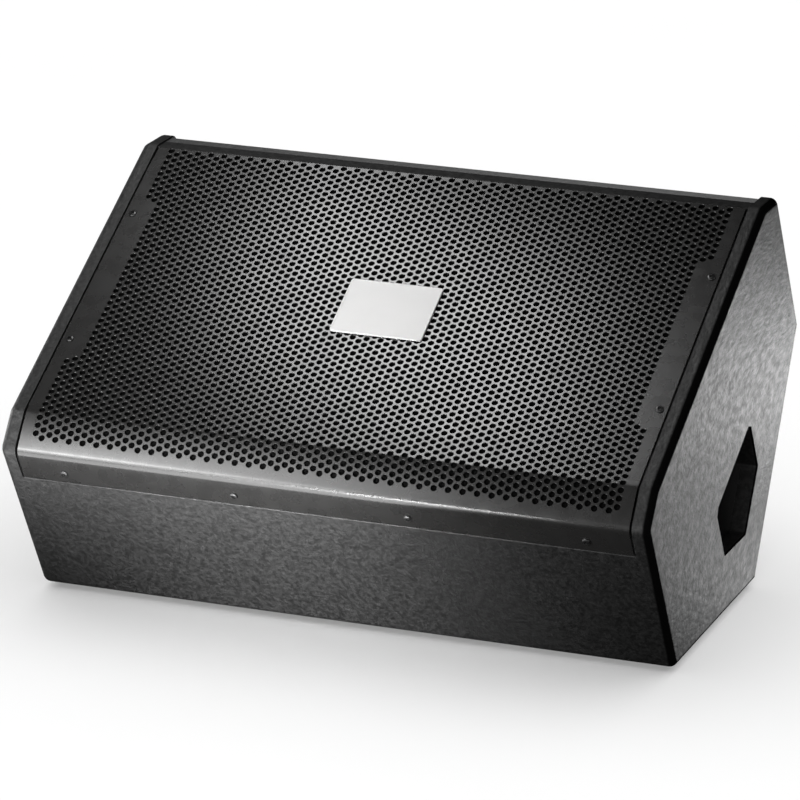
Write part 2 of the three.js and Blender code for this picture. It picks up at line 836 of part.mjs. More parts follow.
function inductor(x, y, radius, height) {
  const z = CROSSOVER.z + 10 + GLUE;
  return turned([
    [radius * 0.35, z],
    [radius, z],
    [radius, z + height],
    [radius * 0.35, z + height],
  ], x, y, 32);
}

function capacitor(x, y, radius, length) {
  const z = CROSSOVER.z + 10 + GLUE + radius;
  const body = new THREE.CylinderGeometry(radius, radius, length, 24).rotateZ(Math.PI / 2);
  return toSolid(body.translate(x, y, z));
}

function foot() {
  const { radius, height, hollow } = FOOT;
  return turned([
    [hollow, -0.1],
    [radius, -0.1],
    [radius - 2, -height],
    [hollow + 5, -height],
    [hollow + 5, -height + 3],
    [hollow, -height + 3],
  ], 0, 0, 20);
}

function buildCabinet() {
  addPart('left_side_panel', 'textured_paint', sidePanel(-1), TO_WORLD);
  addPart('right_side_panel', 'textured_paint', sidePanel(1), TO_WORLD);
  addPart('front_panel', 'textured_paint', frontPanel(), TO_WORLD);
  addPart('bottom_panel', 'textured_paint', bottomPanel(), TO_WORLD);
  addPart('second_floor_panel', 'textured_paint', secondFloorPanel(), TO_WORLD);
  addPart('rear_panel', 'textured_paint', rearPanel(), TO_WORLD);
  addPart('top_rail', 'textured_paint', topRail(), TO_WORLD);
  addPart('grille_batten_left', 'textured_paint', grilleBatten(-1), TO_WORLD);
  addPart('grille_batten_right', 'textured_paint', grilleBatten(1), TO_WORLD);
  addPart('baffle_board', 'textured_paint', baffleBoard(), TO_WORLD);
  addPart('centre_brace', 'bare_ply', centreBrace(), TO_WORLD);
}

function buildGrille() {
  addPart('grille', 'grille_powder_coat', grille(), TO_WORLD);
  addPart('grille_foam', 'foam', grilleFoam(), TO_WORLD);
  addPart('badge_plate', 'badge_white', badgePlate(), TO_WORLD);
  const flangeScrew = screw(4.2, 2.2, 2, 17);
  [[-1, 'left'], [1, 'right']].forEach(([side, label]) => {
    FLANGE_SCREW_S.forEach((s, k) => {
      const spot = inWorld(moved(side * FLANGE_SCREW_X, s, 0));
      addPart(`grille_screw_${label}_${k + 1}`, 'black_screw', flangeScrew, spot);
    });
  });
  const towardsFront = new THREE.Matrix4().makeRotationX(90 * DEGREES);
  LIP_SCREW_X.forEach((x, k) => {
    const spot = inWorld(moved(x, 0, LIP_SCREW_N).multiply(towardsFront));
    addPart(`grille_lip_screw_${k + 1}`, 'black_screw', flangeScrew, spot);
  });
}

function buildWoofer() {
  addPart('woofer_basket', 'cast_metal', wooferBasket(), TO_WORLD);
  addPart('woofer_gasket', 'foam', wooferGasket(), TO_WORLD);
  addPart('woofer_surround', 'treated_cloth', wooferSurround(), TO_WORLD);
  addPart('woofer_cone', 'cone_paper', wooferCone(), TO_WORLD);
  addPart('woofer_dust_cap', 'cone_paper', dustCap(), TO_WORLD);
  addPart('voice_coil_former', 'coil_former', coilFormer(), TO_WORLD);
  addPart('voice_coil', 'copper_wire', voiceCoil(), TO_WORLD);
  addPart('woofer_spider', 'treated_cloth', wooferSpider(), TO_WORLD);
  addPart('woofer_top_plate', 'plated_steel', topPlate(), TO_WORLD);
  addPart('woofer_magnet', 'ferrite', magnetRing(), TO_WORLD);
  addPart('woofer_yoke', 'plated_steel', magnetYoke(), TO_WORLD);
  const bolt = screw(5, 3, 2.4, 22);
  wooferScrewSpots().forEach(([x, s], k) => {
    const spot = inWorld(moved(x, s, BAFFLE_FRONT + 5.3));
    addPart(`woofer_screw_${k + 1}`, 'black_screw', bolt, spot);
  });
}

function buildHorn() {
  addPart('horn', 'black_plastic', horn(), TO_WORLD);
  addPart('compression_driver_body', 'cast_metal', driverBody(), TO_WORLD);
  addPart('compression_driver_diaphragm', 'titanium', driverDiaphragm(), TO_WORLD);
  addPart('compression_driver_cover', 'cast_metal', driverCover(), TO_WORLD);
  const fixing = screw(4.4, 2.4, 2, 18);
  hornScrewSpots().forEach(([x, s], k) => {
    const spot = inWorld(moved(x, s, BAFFLE_FRONT + GLUE + 4));
    addPart(`horn_screw_${k + 1}`, 'black_screw', fixing, spot);
  });
  addPart('port_tube_lower', 'black_plastic', portTube(PORT.s[0]), TO_WORLD);
  addPart('port_tube_upper', 'black_plastic', portTube(PORT.s[1]), TO_WORLD);
}

function buildPockets() {
  addPart('pocket_cup_left', 'black_plastic', pocketCup(-1, false), TO_WORLD);
  addPart('pocket_cup_right', 'black_plastic', pocketCup(1, true), TO_WORLD);
  addPart('speaker_socket_1', 'black_plastic', speakerSocket(SOCKET.s[0]), TO_WORLD);
  addPart('speaker_socket_2', 'black_plastic', speakerSocket(SOCKET.s[1]), TO_WORLD);
  addPart('mode_switch_body', 'black_plastic', switchBody(), TO_WORLD);
  addPart('mode_switch_slider', 'plated_steel', switchSlider(), TO_WORLD);
}

function buildCrossover() {
  const { x, y } = CROSSOVER;
  addPart('crossover_board', 'circuit_board', crossoverBoard(), TO_FLOOR);
  addPart('crossover_coil', 'copper_wire', inductor(x - 36, y - 8, 26, 22), TO_FLOOR);
  addPart('crossover_capacitor', 'capacitor_film', capacitor(x + 34, y + 10, 9, 46), TO_FLOOR);
}

function buildFeet() {
  ['front', 'back'].forEach((row) => {
    [[-1, 'left'], [1, 'right']].forEach(([side, label]) => {
      const spot = TO_FLOOR.clone().multiply(moved(side * FOOT.x, FOOT[row], 0));
      addPart(`foot_${row}_${label}`, 'rubber', foot(), spot);
    });
  });
}

buildCabinet();
buildGrille();
buildWoofer();
buildHorn();
buildPockets();
buildCrossover();
buildFeet();

export default group;
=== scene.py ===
"""Stage monitor wedge: a floor loudspeaker in a textured black cabinet, with a perforated steel grille."""
import json
import math

import bpy
import bmesh
from mathutils import Matrix, Vector, noise
from mathutils.geometry import tessellate_polygon
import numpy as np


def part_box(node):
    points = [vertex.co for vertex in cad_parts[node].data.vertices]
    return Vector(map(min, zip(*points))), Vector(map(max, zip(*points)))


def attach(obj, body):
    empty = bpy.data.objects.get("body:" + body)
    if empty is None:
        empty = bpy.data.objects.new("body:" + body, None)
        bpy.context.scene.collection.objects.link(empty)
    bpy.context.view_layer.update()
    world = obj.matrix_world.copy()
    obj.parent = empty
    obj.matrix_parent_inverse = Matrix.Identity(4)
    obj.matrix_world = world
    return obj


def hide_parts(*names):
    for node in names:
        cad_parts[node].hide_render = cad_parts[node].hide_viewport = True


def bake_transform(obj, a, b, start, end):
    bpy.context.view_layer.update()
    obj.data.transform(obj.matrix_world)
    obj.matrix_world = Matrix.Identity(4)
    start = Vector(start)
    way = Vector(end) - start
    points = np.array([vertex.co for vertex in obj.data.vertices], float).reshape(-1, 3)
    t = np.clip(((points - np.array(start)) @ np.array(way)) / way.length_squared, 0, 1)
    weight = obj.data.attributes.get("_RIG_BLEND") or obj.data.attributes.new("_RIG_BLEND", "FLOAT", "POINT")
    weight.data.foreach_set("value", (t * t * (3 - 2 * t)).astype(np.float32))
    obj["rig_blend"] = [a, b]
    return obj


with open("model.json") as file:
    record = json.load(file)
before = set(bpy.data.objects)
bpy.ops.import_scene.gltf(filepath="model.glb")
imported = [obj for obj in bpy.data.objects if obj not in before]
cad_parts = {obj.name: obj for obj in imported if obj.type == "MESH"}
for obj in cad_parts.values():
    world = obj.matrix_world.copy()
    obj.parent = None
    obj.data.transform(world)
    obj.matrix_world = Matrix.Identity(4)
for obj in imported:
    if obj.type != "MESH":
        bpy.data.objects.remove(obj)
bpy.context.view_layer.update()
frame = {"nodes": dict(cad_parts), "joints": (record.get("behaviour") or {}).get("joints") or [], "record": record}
CABINET = "cabinet"
JOINTS = {joint["name"]: joint for joint in frame["joints"]}

# ---- Driving dimensions, in metres. The grille frame is x across, s up the slope, n out of the grille.
WIDTH = 0.692
SLOPE = 0.475
FRONT_DEPTH = 0.221
REAR_DEPTH = 0.207
FLOOR_TILT = math.radians(29)
SECOND_TILT = math.radians(32)
CHAMFER_RUN = 0.040
CHAMFER_DROP = 0.019
REAR_DROP = 0.0225
CORNER_ROUND = 0.012
EDGE_ROUND = 0.008
SOFT_CORNER = 0.003
PLY = 0.018
REAR_INSET = 0.0045
REAR_ROUND = 0.010
RAIL_INSET = 0.0017
OUTER_X = WIDTH / 2
INNER_X = OUTER_X - PLY

# Small allowances between boards, and the softened edges of the cheeks.
INNER_EASE = 0.0008
MOUTH_ROUND = 0.002
LEAST_ROUND = 0.0003
REBATE_GAP = 0.0005
LIP_GAP = 0.0012
LIP_ROUND = 0.0012
BOARD_GAP = 0.001
RAIL = {"tongue": 0.014, "shelf": 0.0070, "gap": 0.001, "round": 0.0003}

# The perforated sheet. Rows are half a pitch apart: a column has holes in every second row.
SHEET = 0.0015
GRILLE_HALF = 0.326
GRILLE_TOP = 0.4314
LIP_BOTTOM = -0.056
PITCH = 0.00873
ROW = PITCH / 2
COLUMN = PITCH * math.cos(math.radians(30))
HOLE_RADIUS = 0.00325
HOLE_RIM = 0.00022
HOLE_SIDES = 16
ROW_ZERO_S = 0.1877
ROWS = (-40, 55)
COLUMNS = (-41, 41)
PLAIN_COLUMNS = 2
PLAIN_ROWS = (-15, 37)
STRIPS = {"left": (COLUMNS[0], -14), "middle": (-13, 13), "right": (14, COLUMNS[1])}
BEND = {"start": 0.0411, "radius": 0.004, "angle": math.radians(21)}
ROLL = {"radius": 0.0095, "angle": math.radians(30)}

# The sheet's mesh: grid lines per hole column and per row, and lines over each plain stretch.
TOP_HEM = 0.0001
LINES_ACROSS = 4
LINES_UP = 2
EDGE_LINES = 3
BEVEL_LINES = 3
ROLL_LINES = 10
LIP_LINES = 4

# Behind and on the grille. The badge's edge is (inset, height under its face).
FOAM = {"gap": 0.0006, "thick": 0.0058, "half": 0.3128, "low": 0.0065, "high": GRILLE_TOP - 0.0012}
FOAM_MESH = {"rows": 150, "columns": 220, "uneven": 0.0004, "grain": 260}
BADGE = {"half_x": 0.050, "half_s": 0.0375, "s": 0.234, "thick": 0.002, "gap": 0.0002, "corner": 0.003}
BADGE_EDGE = [(0.0, 0.0005), (0.0001, 0.0002), (0.0005, 0.0), (0.0020, 0.0), (0.0022, 0.00025)]
BAFFLE_FRONT = -0.026

# Screws. The shank, the core and the cross recess are given in shares of the head's size.
SCREW = {"radius": 0.0042, "height": 0.0022, "length": 0.012, "lift": 0.0001, "shank": 0.45, "core": 0.002}
RECESS = {"arm": 0.16, "reach": 0.52, "soft": 0.05, "depth": 0.75}

# Side pockets, and the sockets and switch in the right one.
POCKET = {"s": 0.235, "half": 0.0625, "top": -0.176, "side": -0.240, "depth": 0.052, "wall": 0.003}
POCKET_CORNERS = {"slope": math.radians(30), "cut": 0.007, "tip_round": 0.004, "cut_round": 0.002}
SEAM = 0.0002
SOCKET_S = (0.209, 0.261)
SOCKET_N = -0.211
SOCKET = {"hole": 0.0126, "round": 0.003, "tail": 0.0121, "length": 0.022}
SWITCH = {"s": 0.235, "n": -0.250, "half_s": 0.008, "half_n": 0.003, "round": 0.001}
TONGUE = {"base": 0.0045, "neck": 0.0020, "tip": 0.0014, "half_n": 0.0022, "round": 0.0005}

# Moving parts of the woofer: radii, and heights from the baffle's face.
CONE = {"inner": 0.0403, "outer": 0.1485, "back": -0.056, "rise": 0.0585, "curve": 0.9, "thick": 0.0011}
DOME = {"inner": 0.0001, "reach": 0.0575, "top": -0.031, "drop": 0.0142, "curve": 1.9, "thick": 0.001}
SURROUND = {"middle": 0.159, "half": 0.008, "base": 0.002, "rise": 0.007, "thick": 0.001}
SURROUND_FLEX = (0.1512, 0.1668)
SPIDER = {"inner": 0.0428, "reach": 0.0356, "base": -0.0760, "wave": 0.0012, "waves": 3, "thick": 0.0008}
SPIDER_FLEX = (0.0430, 0.0780)

FOOT = {"bore": 0.0045, "top": 0.019, "shoulder": 0.0186, "step": 0.0015, "rim": 0.0155, "round": 0.0020}
FOOT_WELL = {"mouth": 0.0100, "wall": 0.0095, "ease": 0.0003, "floor": 0.0030}

# The grille frame's directions come from the woofer's joint, and its origin from the badge's CAD solid.
OUT = Vector(JOINTS["cone_stroke"]["axis"]).normalized()
ACROSS = Vector((1, 0, 0))
UPHILL = OUT.cross(ACROSS)


def middle(node):
    low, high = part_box(node)
    return (low + high) / 2


ORIGIN = middle("badge_plate") - UPHILL * BADGE["s"] - OUT * (BADGE["gap"] + BADGE["thick"] / 2)


def at(x, s, n):
    """The world place of a point in the grille frame."""
    return ORIGIN + ACROSS * x + UPHILL * s + OUT * n


# ---- Outlines

def offset_corner(before, here, after, inset):
    """A corner of a counter-clockwise polygon, moved inwards by inset from both of its edges."""
    first = (here - before).normalized()
    second = (after - here).normalized()
    one = Vector((-first.y, first.x))
    two = Vector((-second.y, second.x))
    return here + (one + two) * (inset / (1 + one.dot(two)))


def rounded(corners, inset=0.0, steps=8):
    """Points of a counter-clockwise outline; each corner is (x, y) or (x, y, radius)."""
    sharp = [Vector(corner[:2]) for corner in corners]
    count = len(corners)
    moved = [
        offset_corner(sharp[i - 1], sharp[i], sharp[(i + 1) % count], inset) for i in range(count)
    ]
    points = []
    for i, corner in enumerate(corners):
        here = moved[i]
        if len(corner) == 2:
            points.append(here)
            continue
        radius = max(corner[2] - inset, LEAST_ROUND)
        inward = (moved[i - 1] - here).normalized()
        outward = (moved[(i + 1) % count] - here).normalized()
        half = inward.angle(outward) / 2
        start = here + inward * (radius / math.tan(half))
        end = here + outward * (radius / math.tan(half))
        centre = here + (inward + outward).normalized() * (radius / math.sin(half))
        turn = (start - centre).angle_signed(end - centre)
        for k in range(steps + 1):
            arm = (start - centre).copy()
            arm.rotate(Matrix.Rotation(-turn * k / steps, 2))
            points.append(centre + arm)
    return points


def floor_line(s):
    """The floor face's n at s."""
    return -FRONT_DEPTH - s * math.tan(FLOOR_TILT)


def second_line(s):
    """The second floor face's n at s."""
    return -REAR_DEPTH - (SLOPE - s) * math.tan(SECOND_TILT)


KEEL_S = (REAR_DEPTH - FRONT_DEPTH + SLOPE * math.tan(SECOND_TILT)) / (
    math.tan(FLOOR_TILT) + math.tan(SECOND_TILT)
)
REAR_FACE = SLOPE - REAR_INSET
FLOOR_RISE = PLY / math.cos(FLOOR_TILT)
SECOND_RISE = PLY / math.cos(SECOND_TILT)
SECOND_INSET = REAR_INSET / math.cos(SECOND_TILT)
LIP_END = LIP_BOTTOM - LIP_GAP


def chamfer_line(s):
    slope = REAR_DROP / CHAMFER_RUN
    return -(s - SLOPE + CHAMFER_RUN) * slope - RAIL_INSET * math.hypot(1, slope)


CHEEK = [
    (0, -FRONT_DEPTH, CORNER_ROUND),
    (KEEL_S, floor_line(KEEL_S), SOFT_CORNER),
    (SLOPE, -REAR_DEPTH, SOFT_CORNER),
    (SLOPE, -REAR_DROP, CORNER_ROUND),
    (SLOPE - CHAMFER_RUN, 0, CORNER_ROUND),
    (CHAMFER_RUN, 0, CORNER_ROUND),
    (0, -CHAMFER_DROP, CORNER_ROUND),
    (0, LIP_BOTTOM),
    (0, LIP_END - BOARD_GAP),
]


def pocket_outline(grow=0.0):
    """The pocket's five-sided opening with two cut corners, made larger all round by grow."""
    reach = POCKET["half"] + grow
    slope = math.tan(POCKET_CORNERS["slope"])
    apex = POCKET["side"] - POCKET["half"] * slope - grow / math.cos(POCKET_CORNERS["slope"])
    s = POCKET["s"]
    top = POCKET["top"] + grow
    cut, tip, small = (POCKET_CORNERS[key] for key in ("cut", "tip_round", "cut_round"))
    corners = [
        (s - reach, apex + reach * slope, tip),
        (s, apex, tip),
        (s + reach, apex + reach * slope, tip),
        (s + reach, top - cut, small),
        (s + reach - cut, top, small),
        (s - reach + cut, top, small),
        (s - reach, top - cut, small),
    ]
    return rounded(corners, steps=6)


# ---- Mesh building

class Builder:
    """Collects vertices and faces for one closed piece."""

    def __init__(self):
        self.points = []
        self.faces = []

    def ring(self, points):
        start = len(self.points)
        self.points.extend(points)
        return list(range(start, start + len(points)))

    def bridge(self, one, two):
        count = len(one)
        for k in range(count):
            after = (k + 1) % count
            self.faces.append((one[k], one[after], two[after], two[k]))

    def loft(self, rings):
        made = [self.ring(points) for points in rings]
        for one, two in zip(made, made[1:]):
            self.bridge(one, two)
        return made

    def closed_loft(self, rings):
        made = self.loft(rings)
        self.cap(made[0])
        self.cap(made[-1])

    def cap(self, *loops):
        """Fills the first loop, less the holes that the other loops outline."""
        flat = [index for loop in loops for index in loop]
        for face in tessellate_polygon([[self.points[i] for i in loop] for loop in loops]):
            self.faces.append(tuple(flat[i] for i in face))


def finish_piece(obj, slot, node, body=CABINET):
    """Gives a piece its material and body, and lets it stand for a CAD node."""
    obj.data.materials.append(MATERIALS[slot])
    if body:
        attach(obj, body)
    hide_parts(node)


def make_object(name, builder, sharp_angle=32, weighted=True):
    """An object from a builder's faces, smooth but for its sharp edges."""
    mesh = bpy.data.meshes.new(name)
    mesh.from_pydata(builder.points, [], builder.faces)
    work = bmesh.new()
    work.from_mesh(mesh)
    bmesh.ops.recalc_face_normals(work, faces=work.faces)
    work.to_mesh(mesh)
    work.free()
    mesh.polygons.foreach_set("use_smooth", [True] * len(mesh.polygons))
    mesh.set_sharp_from_angle(angle=math.radians(sharp_angle))
    obj = bpy.data.objects.new(name, mesh)
    bpy.context.scene.collection.objects.link(obj)
    if weighted:
        normals = obj.modifiers.new("normals", "WEIGHTED_NORMAL")
        normals.keep_sharp = True
    return obj


# ---- Materials

# A Mix node's sockets share their names, so they are found by number.
MIX_FACTOR = 0
MIX_VALUES = (2, 3)
MIX_COLOURS = (6, 7)
VALUE_RESULT = 0
COLOUR_RESULT = 2


class Finish:
    """A node material with one Principled shader, and short calls for its patterns."""

    def __init__(self, name, colour, roughness, metallic=0.0):
        self.material = bpy.data.materials.new(name)
        self.material.use_nodes = True
        self.tree = self.material.node_tree
        self.shader = self.tree.nodes["Principled BSDF"]
        self.shader.inputs["Base Color"].default_value = (*colour, 1)
        self.shader.inputs["Roughness"].default_value = roughness
        self.shader.inputs["Metallic"].default_value = metallic
        self.place = self.tree.nodes.new("ShaderNodeTexCoord").outputs["Object"]

    def link(self, output, socket):
        self.tree.links.new(output, socket)

    def noise(self, scale, detail=2.0, roughness=0.5, stretch=None):
        node = self.tree.nodes.new("ShaderNodeTexNoise")
        node.inputs["Scale"].default_value = scale
        node.inputs["Detail"].default_value = detail
        node.inputs["Roughness"].default_value = roughness
        source = self.place
        if stretch:
            mapping = self.tree.nodes.new("ShaderNodeMapping")
            mapping.inputs["Scale"].default_value = stretch
            self.link(self.place, mapping.inputs["Vector"])
            source = mapping.outputs["Vector"]
        self.link(source, node.inputs["Vector"])
        return node.outputs["Fac"]

    def cells(self, scale, smooth):
        node = self.tree.nodes.new("ShaderNodeTexVoronoi")
        node.feature = "SMOOTH_F1"
        node.inputs["Scale"].default_value = scale
        node.inputs["Smoothness"].default_value = smooth
        self.link(self.place, node.inputs["Vector"])
        return node.outputs["Distance"]

    def ranged(self, value, low, high, to_low=0.0, to_high=1.0):
        node = self.tree.nodes.new("ShaderNodeMapRange")
        for name, number in (
            ("From Min", low), ("From Max", high), ("To Min", to_low), ("To Max", to_high),
        ):
            node.inputs[name].default_value = number
        self.link(value, node.inputs["Value"])
        return node.outputs["Result"]

    def combine(self, operation, one, two):
        node = self.tree.nodes.new("ShaderNodeMath")
        node.operation = operation
        self.link(one, node.inputs[0])
        self.link(two, node.inputs[1])
        return node.outputs[0]

    def facing_right(self):
        """1 where the surface faces right, -1 where it faces left, 0 where it faces any way between."""
        geometry = self.tree.nodes.new("ShaderNodeNewGeometry")
        split = self.tree.nodes.new("ShaderNodeSeparateXYZ")
        self.link(geometry.outputs["Normal"], split.inputs[0])
        return split.outputs["X"]

    def mix_values(self, one, two, share):
        node = self.tree.nodes.new("ShaderNodeMix")
        node.inputs[MIX_FACTOR].default_value = share
        self.link(one, node.inputs[MIX_VALUES[0]])
        self.link(two, node.inputs[MIX_VALUES[1]])
        return node.outputs[VALUE_RESULT]

    def colours(self, factor, dark, light):
        node = self.tree.nodes.new("ShaderNodeMix")
        node.data_type = "RGBA"
        node.inputs[MIX_COLOURS[0]].default_value = (*dark, 1)
        node.inputs[MIX_COLOURS[1]].default_value = (*light, 1)
        self.link(factor, node.inputs[MIX_FACTOR])
        self.link(node.outputs[COLOUR_RESULT], self.shader.inputs["Base Color"])

    def rough(self, value):
        self.link(value, self.shader.inputs["Roughness"])

    def bump(self, height, depth, strength=1.0):
        node = self.tree.nodes.new("ShaderNodeBump")
        node.inputs["Strength"].default_value = strength
        node.inputs["Distance"].default_value = depth
        self.link(height, node.inputs["Height"])
        self.link(node.outputs["Normal"], self.shader.inputs["Normal"])


def grey(level, warmth=0.0):
    return (level * (1 + warmth), level, level * (1 - warmth))


def textured_paint():
    """Sprayed texture paint: soft grains, pale flecks painted in as glints on the grain tops, and painted shade,
    dull and near black, on the right cheek's rounded edge.
    """
    paint = Finish("textured_paint", grey(0.008), 0.58)
    along = (1, 0.45, 1)
    grains = paint.noise(300, 2, 0.5, along)
    lumps = paint.noise(130, 2, 0.55, along)
    patches = paint.noise(45, 3, 0.6, along)
    mottle = paint.ranged(paint.noise(210, 2, 0.6), 0.38, 0.62)
    # Painted highlights: pale flecks in the colour stand in for glints on the tops of the paint's grains.
    painted_glints = paint.ranged(paint.noise(330, 1, 0.5), 0.60, 0.74)
    # Painted shade: near black on the rounded edge that faces right, where that edge falls in shade; the mask
    # below is 0 on that edge and 1 elsewhere.
    right = paint.facing_right()
    before_painted_shade = paint.ranged(right, 0.04, 0.30, 1, 0)
    past_painted_shade = paint.ranged(right, 0.975, 0.9995)
    outside_painted_shade = paint.combine("ADD", before_painted_shade, past_painted_shade)
    # The colour mixes random mottle with the painted glints, and falls to its darkest in the painted shade.
    pattern = paint.combine("MULTIPLY", paint.mix_values(mottle, painted_glints, 0.45), outside_painted_shade)
    paint.colours(pattern, grey(0.0025), grey(0.0195))
    # The painted shade also takes most of the gloss off that edge.
    paint.link(paint.ranged(outside_painted_shade, 0, 1, 0.0, 0.4), paint.shader.inputs["Specular IOR Level"])
    paint.rough(paint.ranged(lumps, 0.36, 0.64, 0.52, 0.62))
    height = paint.mix_values(paint.mix_values(grains, lumps, 0.55), patches, 0.15)
    paint.bump(height, 0.0019, 0.7)
    return paint.material


def grille_powder_coat():
    """Satin powder coat with a faint orange peel."""
    coat = Finish("grille_powder_coat", grey(0.009, 0.02), 0.27)
    coat.colours(coat.noise(45, 2), grey(0.007, 0.02), grey(0.011, 0.02))
    coat.rough(coat.ranged(coat.noise(60, 2), 0.3, 0.7, 0.25, 0.30))
    coat.bump(coat.noise(700, 2), 0.00005, 0.5)
    return coat.material


def bare_ply():
    wood = Finish("bare_ply", (0.42, 0.28, 0.15), 0.65)
    grain = wood.noise(60, 4, 0.6, stretch=(0.15, 1, 3))
    wood.colours(grain, (0.33, 0.2, 0.1), (0.5, 0.35, 0.2))
    wood.bump(grain, 0.0003, 0.4)
    return wood.material


def foam():
    sponge = Finish("foam", grey(0.004), 0.95)
    cells = sponge.cells(1400, 0.2)
    sponge.colours(cells, grey(0.001), grey(0.003))
    sponge.bump(cells, 0.0008, 1.0)
    sponge.shader.inputs["Specular IOR Level"].default_value = 0.05
    return sponge.material


def badge_white():
    plate = Finish("badge_white", grey(0.52, 0.005), 0.5)
    plate.colours(plate.noise(25, 2), grey(0.50, 0.004), grey(0.54, 0.004))
    plate.rough(plate.ranged(plate.noise(220, 3), 0.3, 0.7, 0.46, 0.56))
    plate.shader.inputs["Specular IOR Level"].default_value = 0.15
    plate.bump(plate.noise(900, 2), 0.00003, 0.4)
    return plate.material


def metal(name, colour, roughness, metallic=1.0, grain=500):
    """Metal whose shade and gloss vary a little together."""
    steel = Finish(name, colour, roughness, metallic)
    pattern = steel.noise(grain, 3, 0.6)
    darker = tuple(0.8 * value for value in colour)
    lighter = tuple(min(1.0, 1.15 * value) for value in colour)
    steel.colours(pattern, darker, lighter)
    steel.rough(steel.ranged(pattern, 0.3, 0.7, roughness * 0.85, roughness * 1.15))
    steel.bump(pattern, 0.00008, 0.4)
    return steel.material


def moulded(name, colour, roughness, grain=600, depth=0.0001):
    """Plastic, paper, cloth or rubber with an even grain."""
    plastic = Finish(name, colour, roughness)
    pattern = plastic.noise(grain, 3, 0.6)
    darker = tuple(0.8 * value for value in colour)
    lighter = tuple(min(1.0, 1.3 * value) for value in colour)
    plastic.colours(pattern, darker, lighter)
    plastic.rough(plastic.ranged(pattern, 0.3, 0.7, roughness * 0.9, roughness * 1.1))
    plastic.bump(pattern, depth, 0.6)
    return plastic.material


MATERIALS = {
    "textured_paint": textured_paint(),
    "grille_powder_coat": grille_powder_coat(),
    "bare_ply": bare_ply(),
    "foam": foam(),
    "badge_white": badge_white(),
    "black_screw": metal("black_screw", grey(0.05), 0.32, 0.8, 900),
    "cast_metal": metal("cast_metal", grey(0.03), 0.5, 0.5, 350),
    "plated_steel": metal("plated_steel", grey(0.45), 0.32),
    "ferrite": moulded("ferrite", grey(0.03), 0.7, 300, 0.0003),
    "cone_paper": moulded("cone_paper", grey(0.012), 0.85, 250, 0.0006),
    "treated_cloth": moulded("treated_cloth", (0.015, 0.013, 0.012), 0.8, 800, 0.0004),
    "coil_former": moulded("coil_former", (0.35, 0.2, 0.08), 0.4),
    "copper_wire": metal("copper_wire", (0.6, 0.25, 0.1), 0.35, 1.0, 800),
    "titanium": metal("titanium", grey(0.4), 0.25, 1.0, 200),
    "black_plastic": moulded("black_plastic", grey(0.01), 0.5),
    "circuit_board": moulded("circuit_board", (0.03, 0.12, 0.05), 0.4, 120),
    "capacitor_film": moulded("capacitor_film", (0.6, 0.4, 0.03), 0.3, 150),
    "rubber": moulded("rubber", grey(0.008), 0.85, 400, 0.0003),
}


def dress_cad_nodes():
    """Gives each CAD node that stays visible the material of its slot."""
    for row in frame["record"]["subparts"]:
        for slot in frame["nodes"][row["node"]].material_slots:
            slot.material = MATERIALS[row["material_slot"]]


# ---- Cabinet

def side_ring(side, x, points):
    """An outline of (s, n) points at x, mirrored on the left side."""
    return [at(side * x, s, n) for s, n in points]


def quarter_turn(steps):
    """Evenly spaced angles from 0 to 90 degrees."""
    return [math.pi / 2 * k / steps for k in range(steps + 1)]


def cheek(side, name, node):
    """A cheek with rounded outer edges, and softened where its inner edge is free and at the pocket."""
    build = Builder()
    full = rounded(CHEEK)
    eased = rounded(CHEEK, INNER_EASE)
    joined = [n < LIP_END and s < KEEL_S + BOARD_GAP for s, n in full]
    inner = [full[k] if joined[k] else eased[k] for k in range(len(full))]
    rings = [side_ring(side, INNER_X, inner), side_ring(side, INNER_X + INNER_EASE, full)]
    for angle in quarter_turn(10):
        x = OUTER_X - EDGE_ROUND + EDGE_ROUND * math.sin(angle)
        rings.append(side_ring(side, x, rounded(CHEEK, EDGE_ROUND * (1 - math.cos(angle)))))
    shell = build.loft(rings)
    holes = []
    for angle in quarter_turn(4):
        x = OUTER_X - MOUTH_ROUND + MOUTH_ROUND * math.cos(angle)
        holes.append(side_ring(side, x, pocket_outline(MOUTH_ROUND * (1 - math.sin(angle)))))
    holes.append(side_ring(side, INNER_X, pocket_outline()))
    opening = build.loft(holes)
    build.cap(shell[-1], opening[0])
    build.cap(shell[0], opening[-1])
    finish_piece(make_object(name, build), "textured_paint", node)


def board(name, corners, node):
    """A board that runs across the cabinet between the cheeks."""
    build = Builder()
    outline = rounded(corners)
    build.closed_loft([side_ring(1, x, outline) for x in (-INNER_X, INNER_X)])
    finish_piece(make_object(name, build), "textured_paint", node)


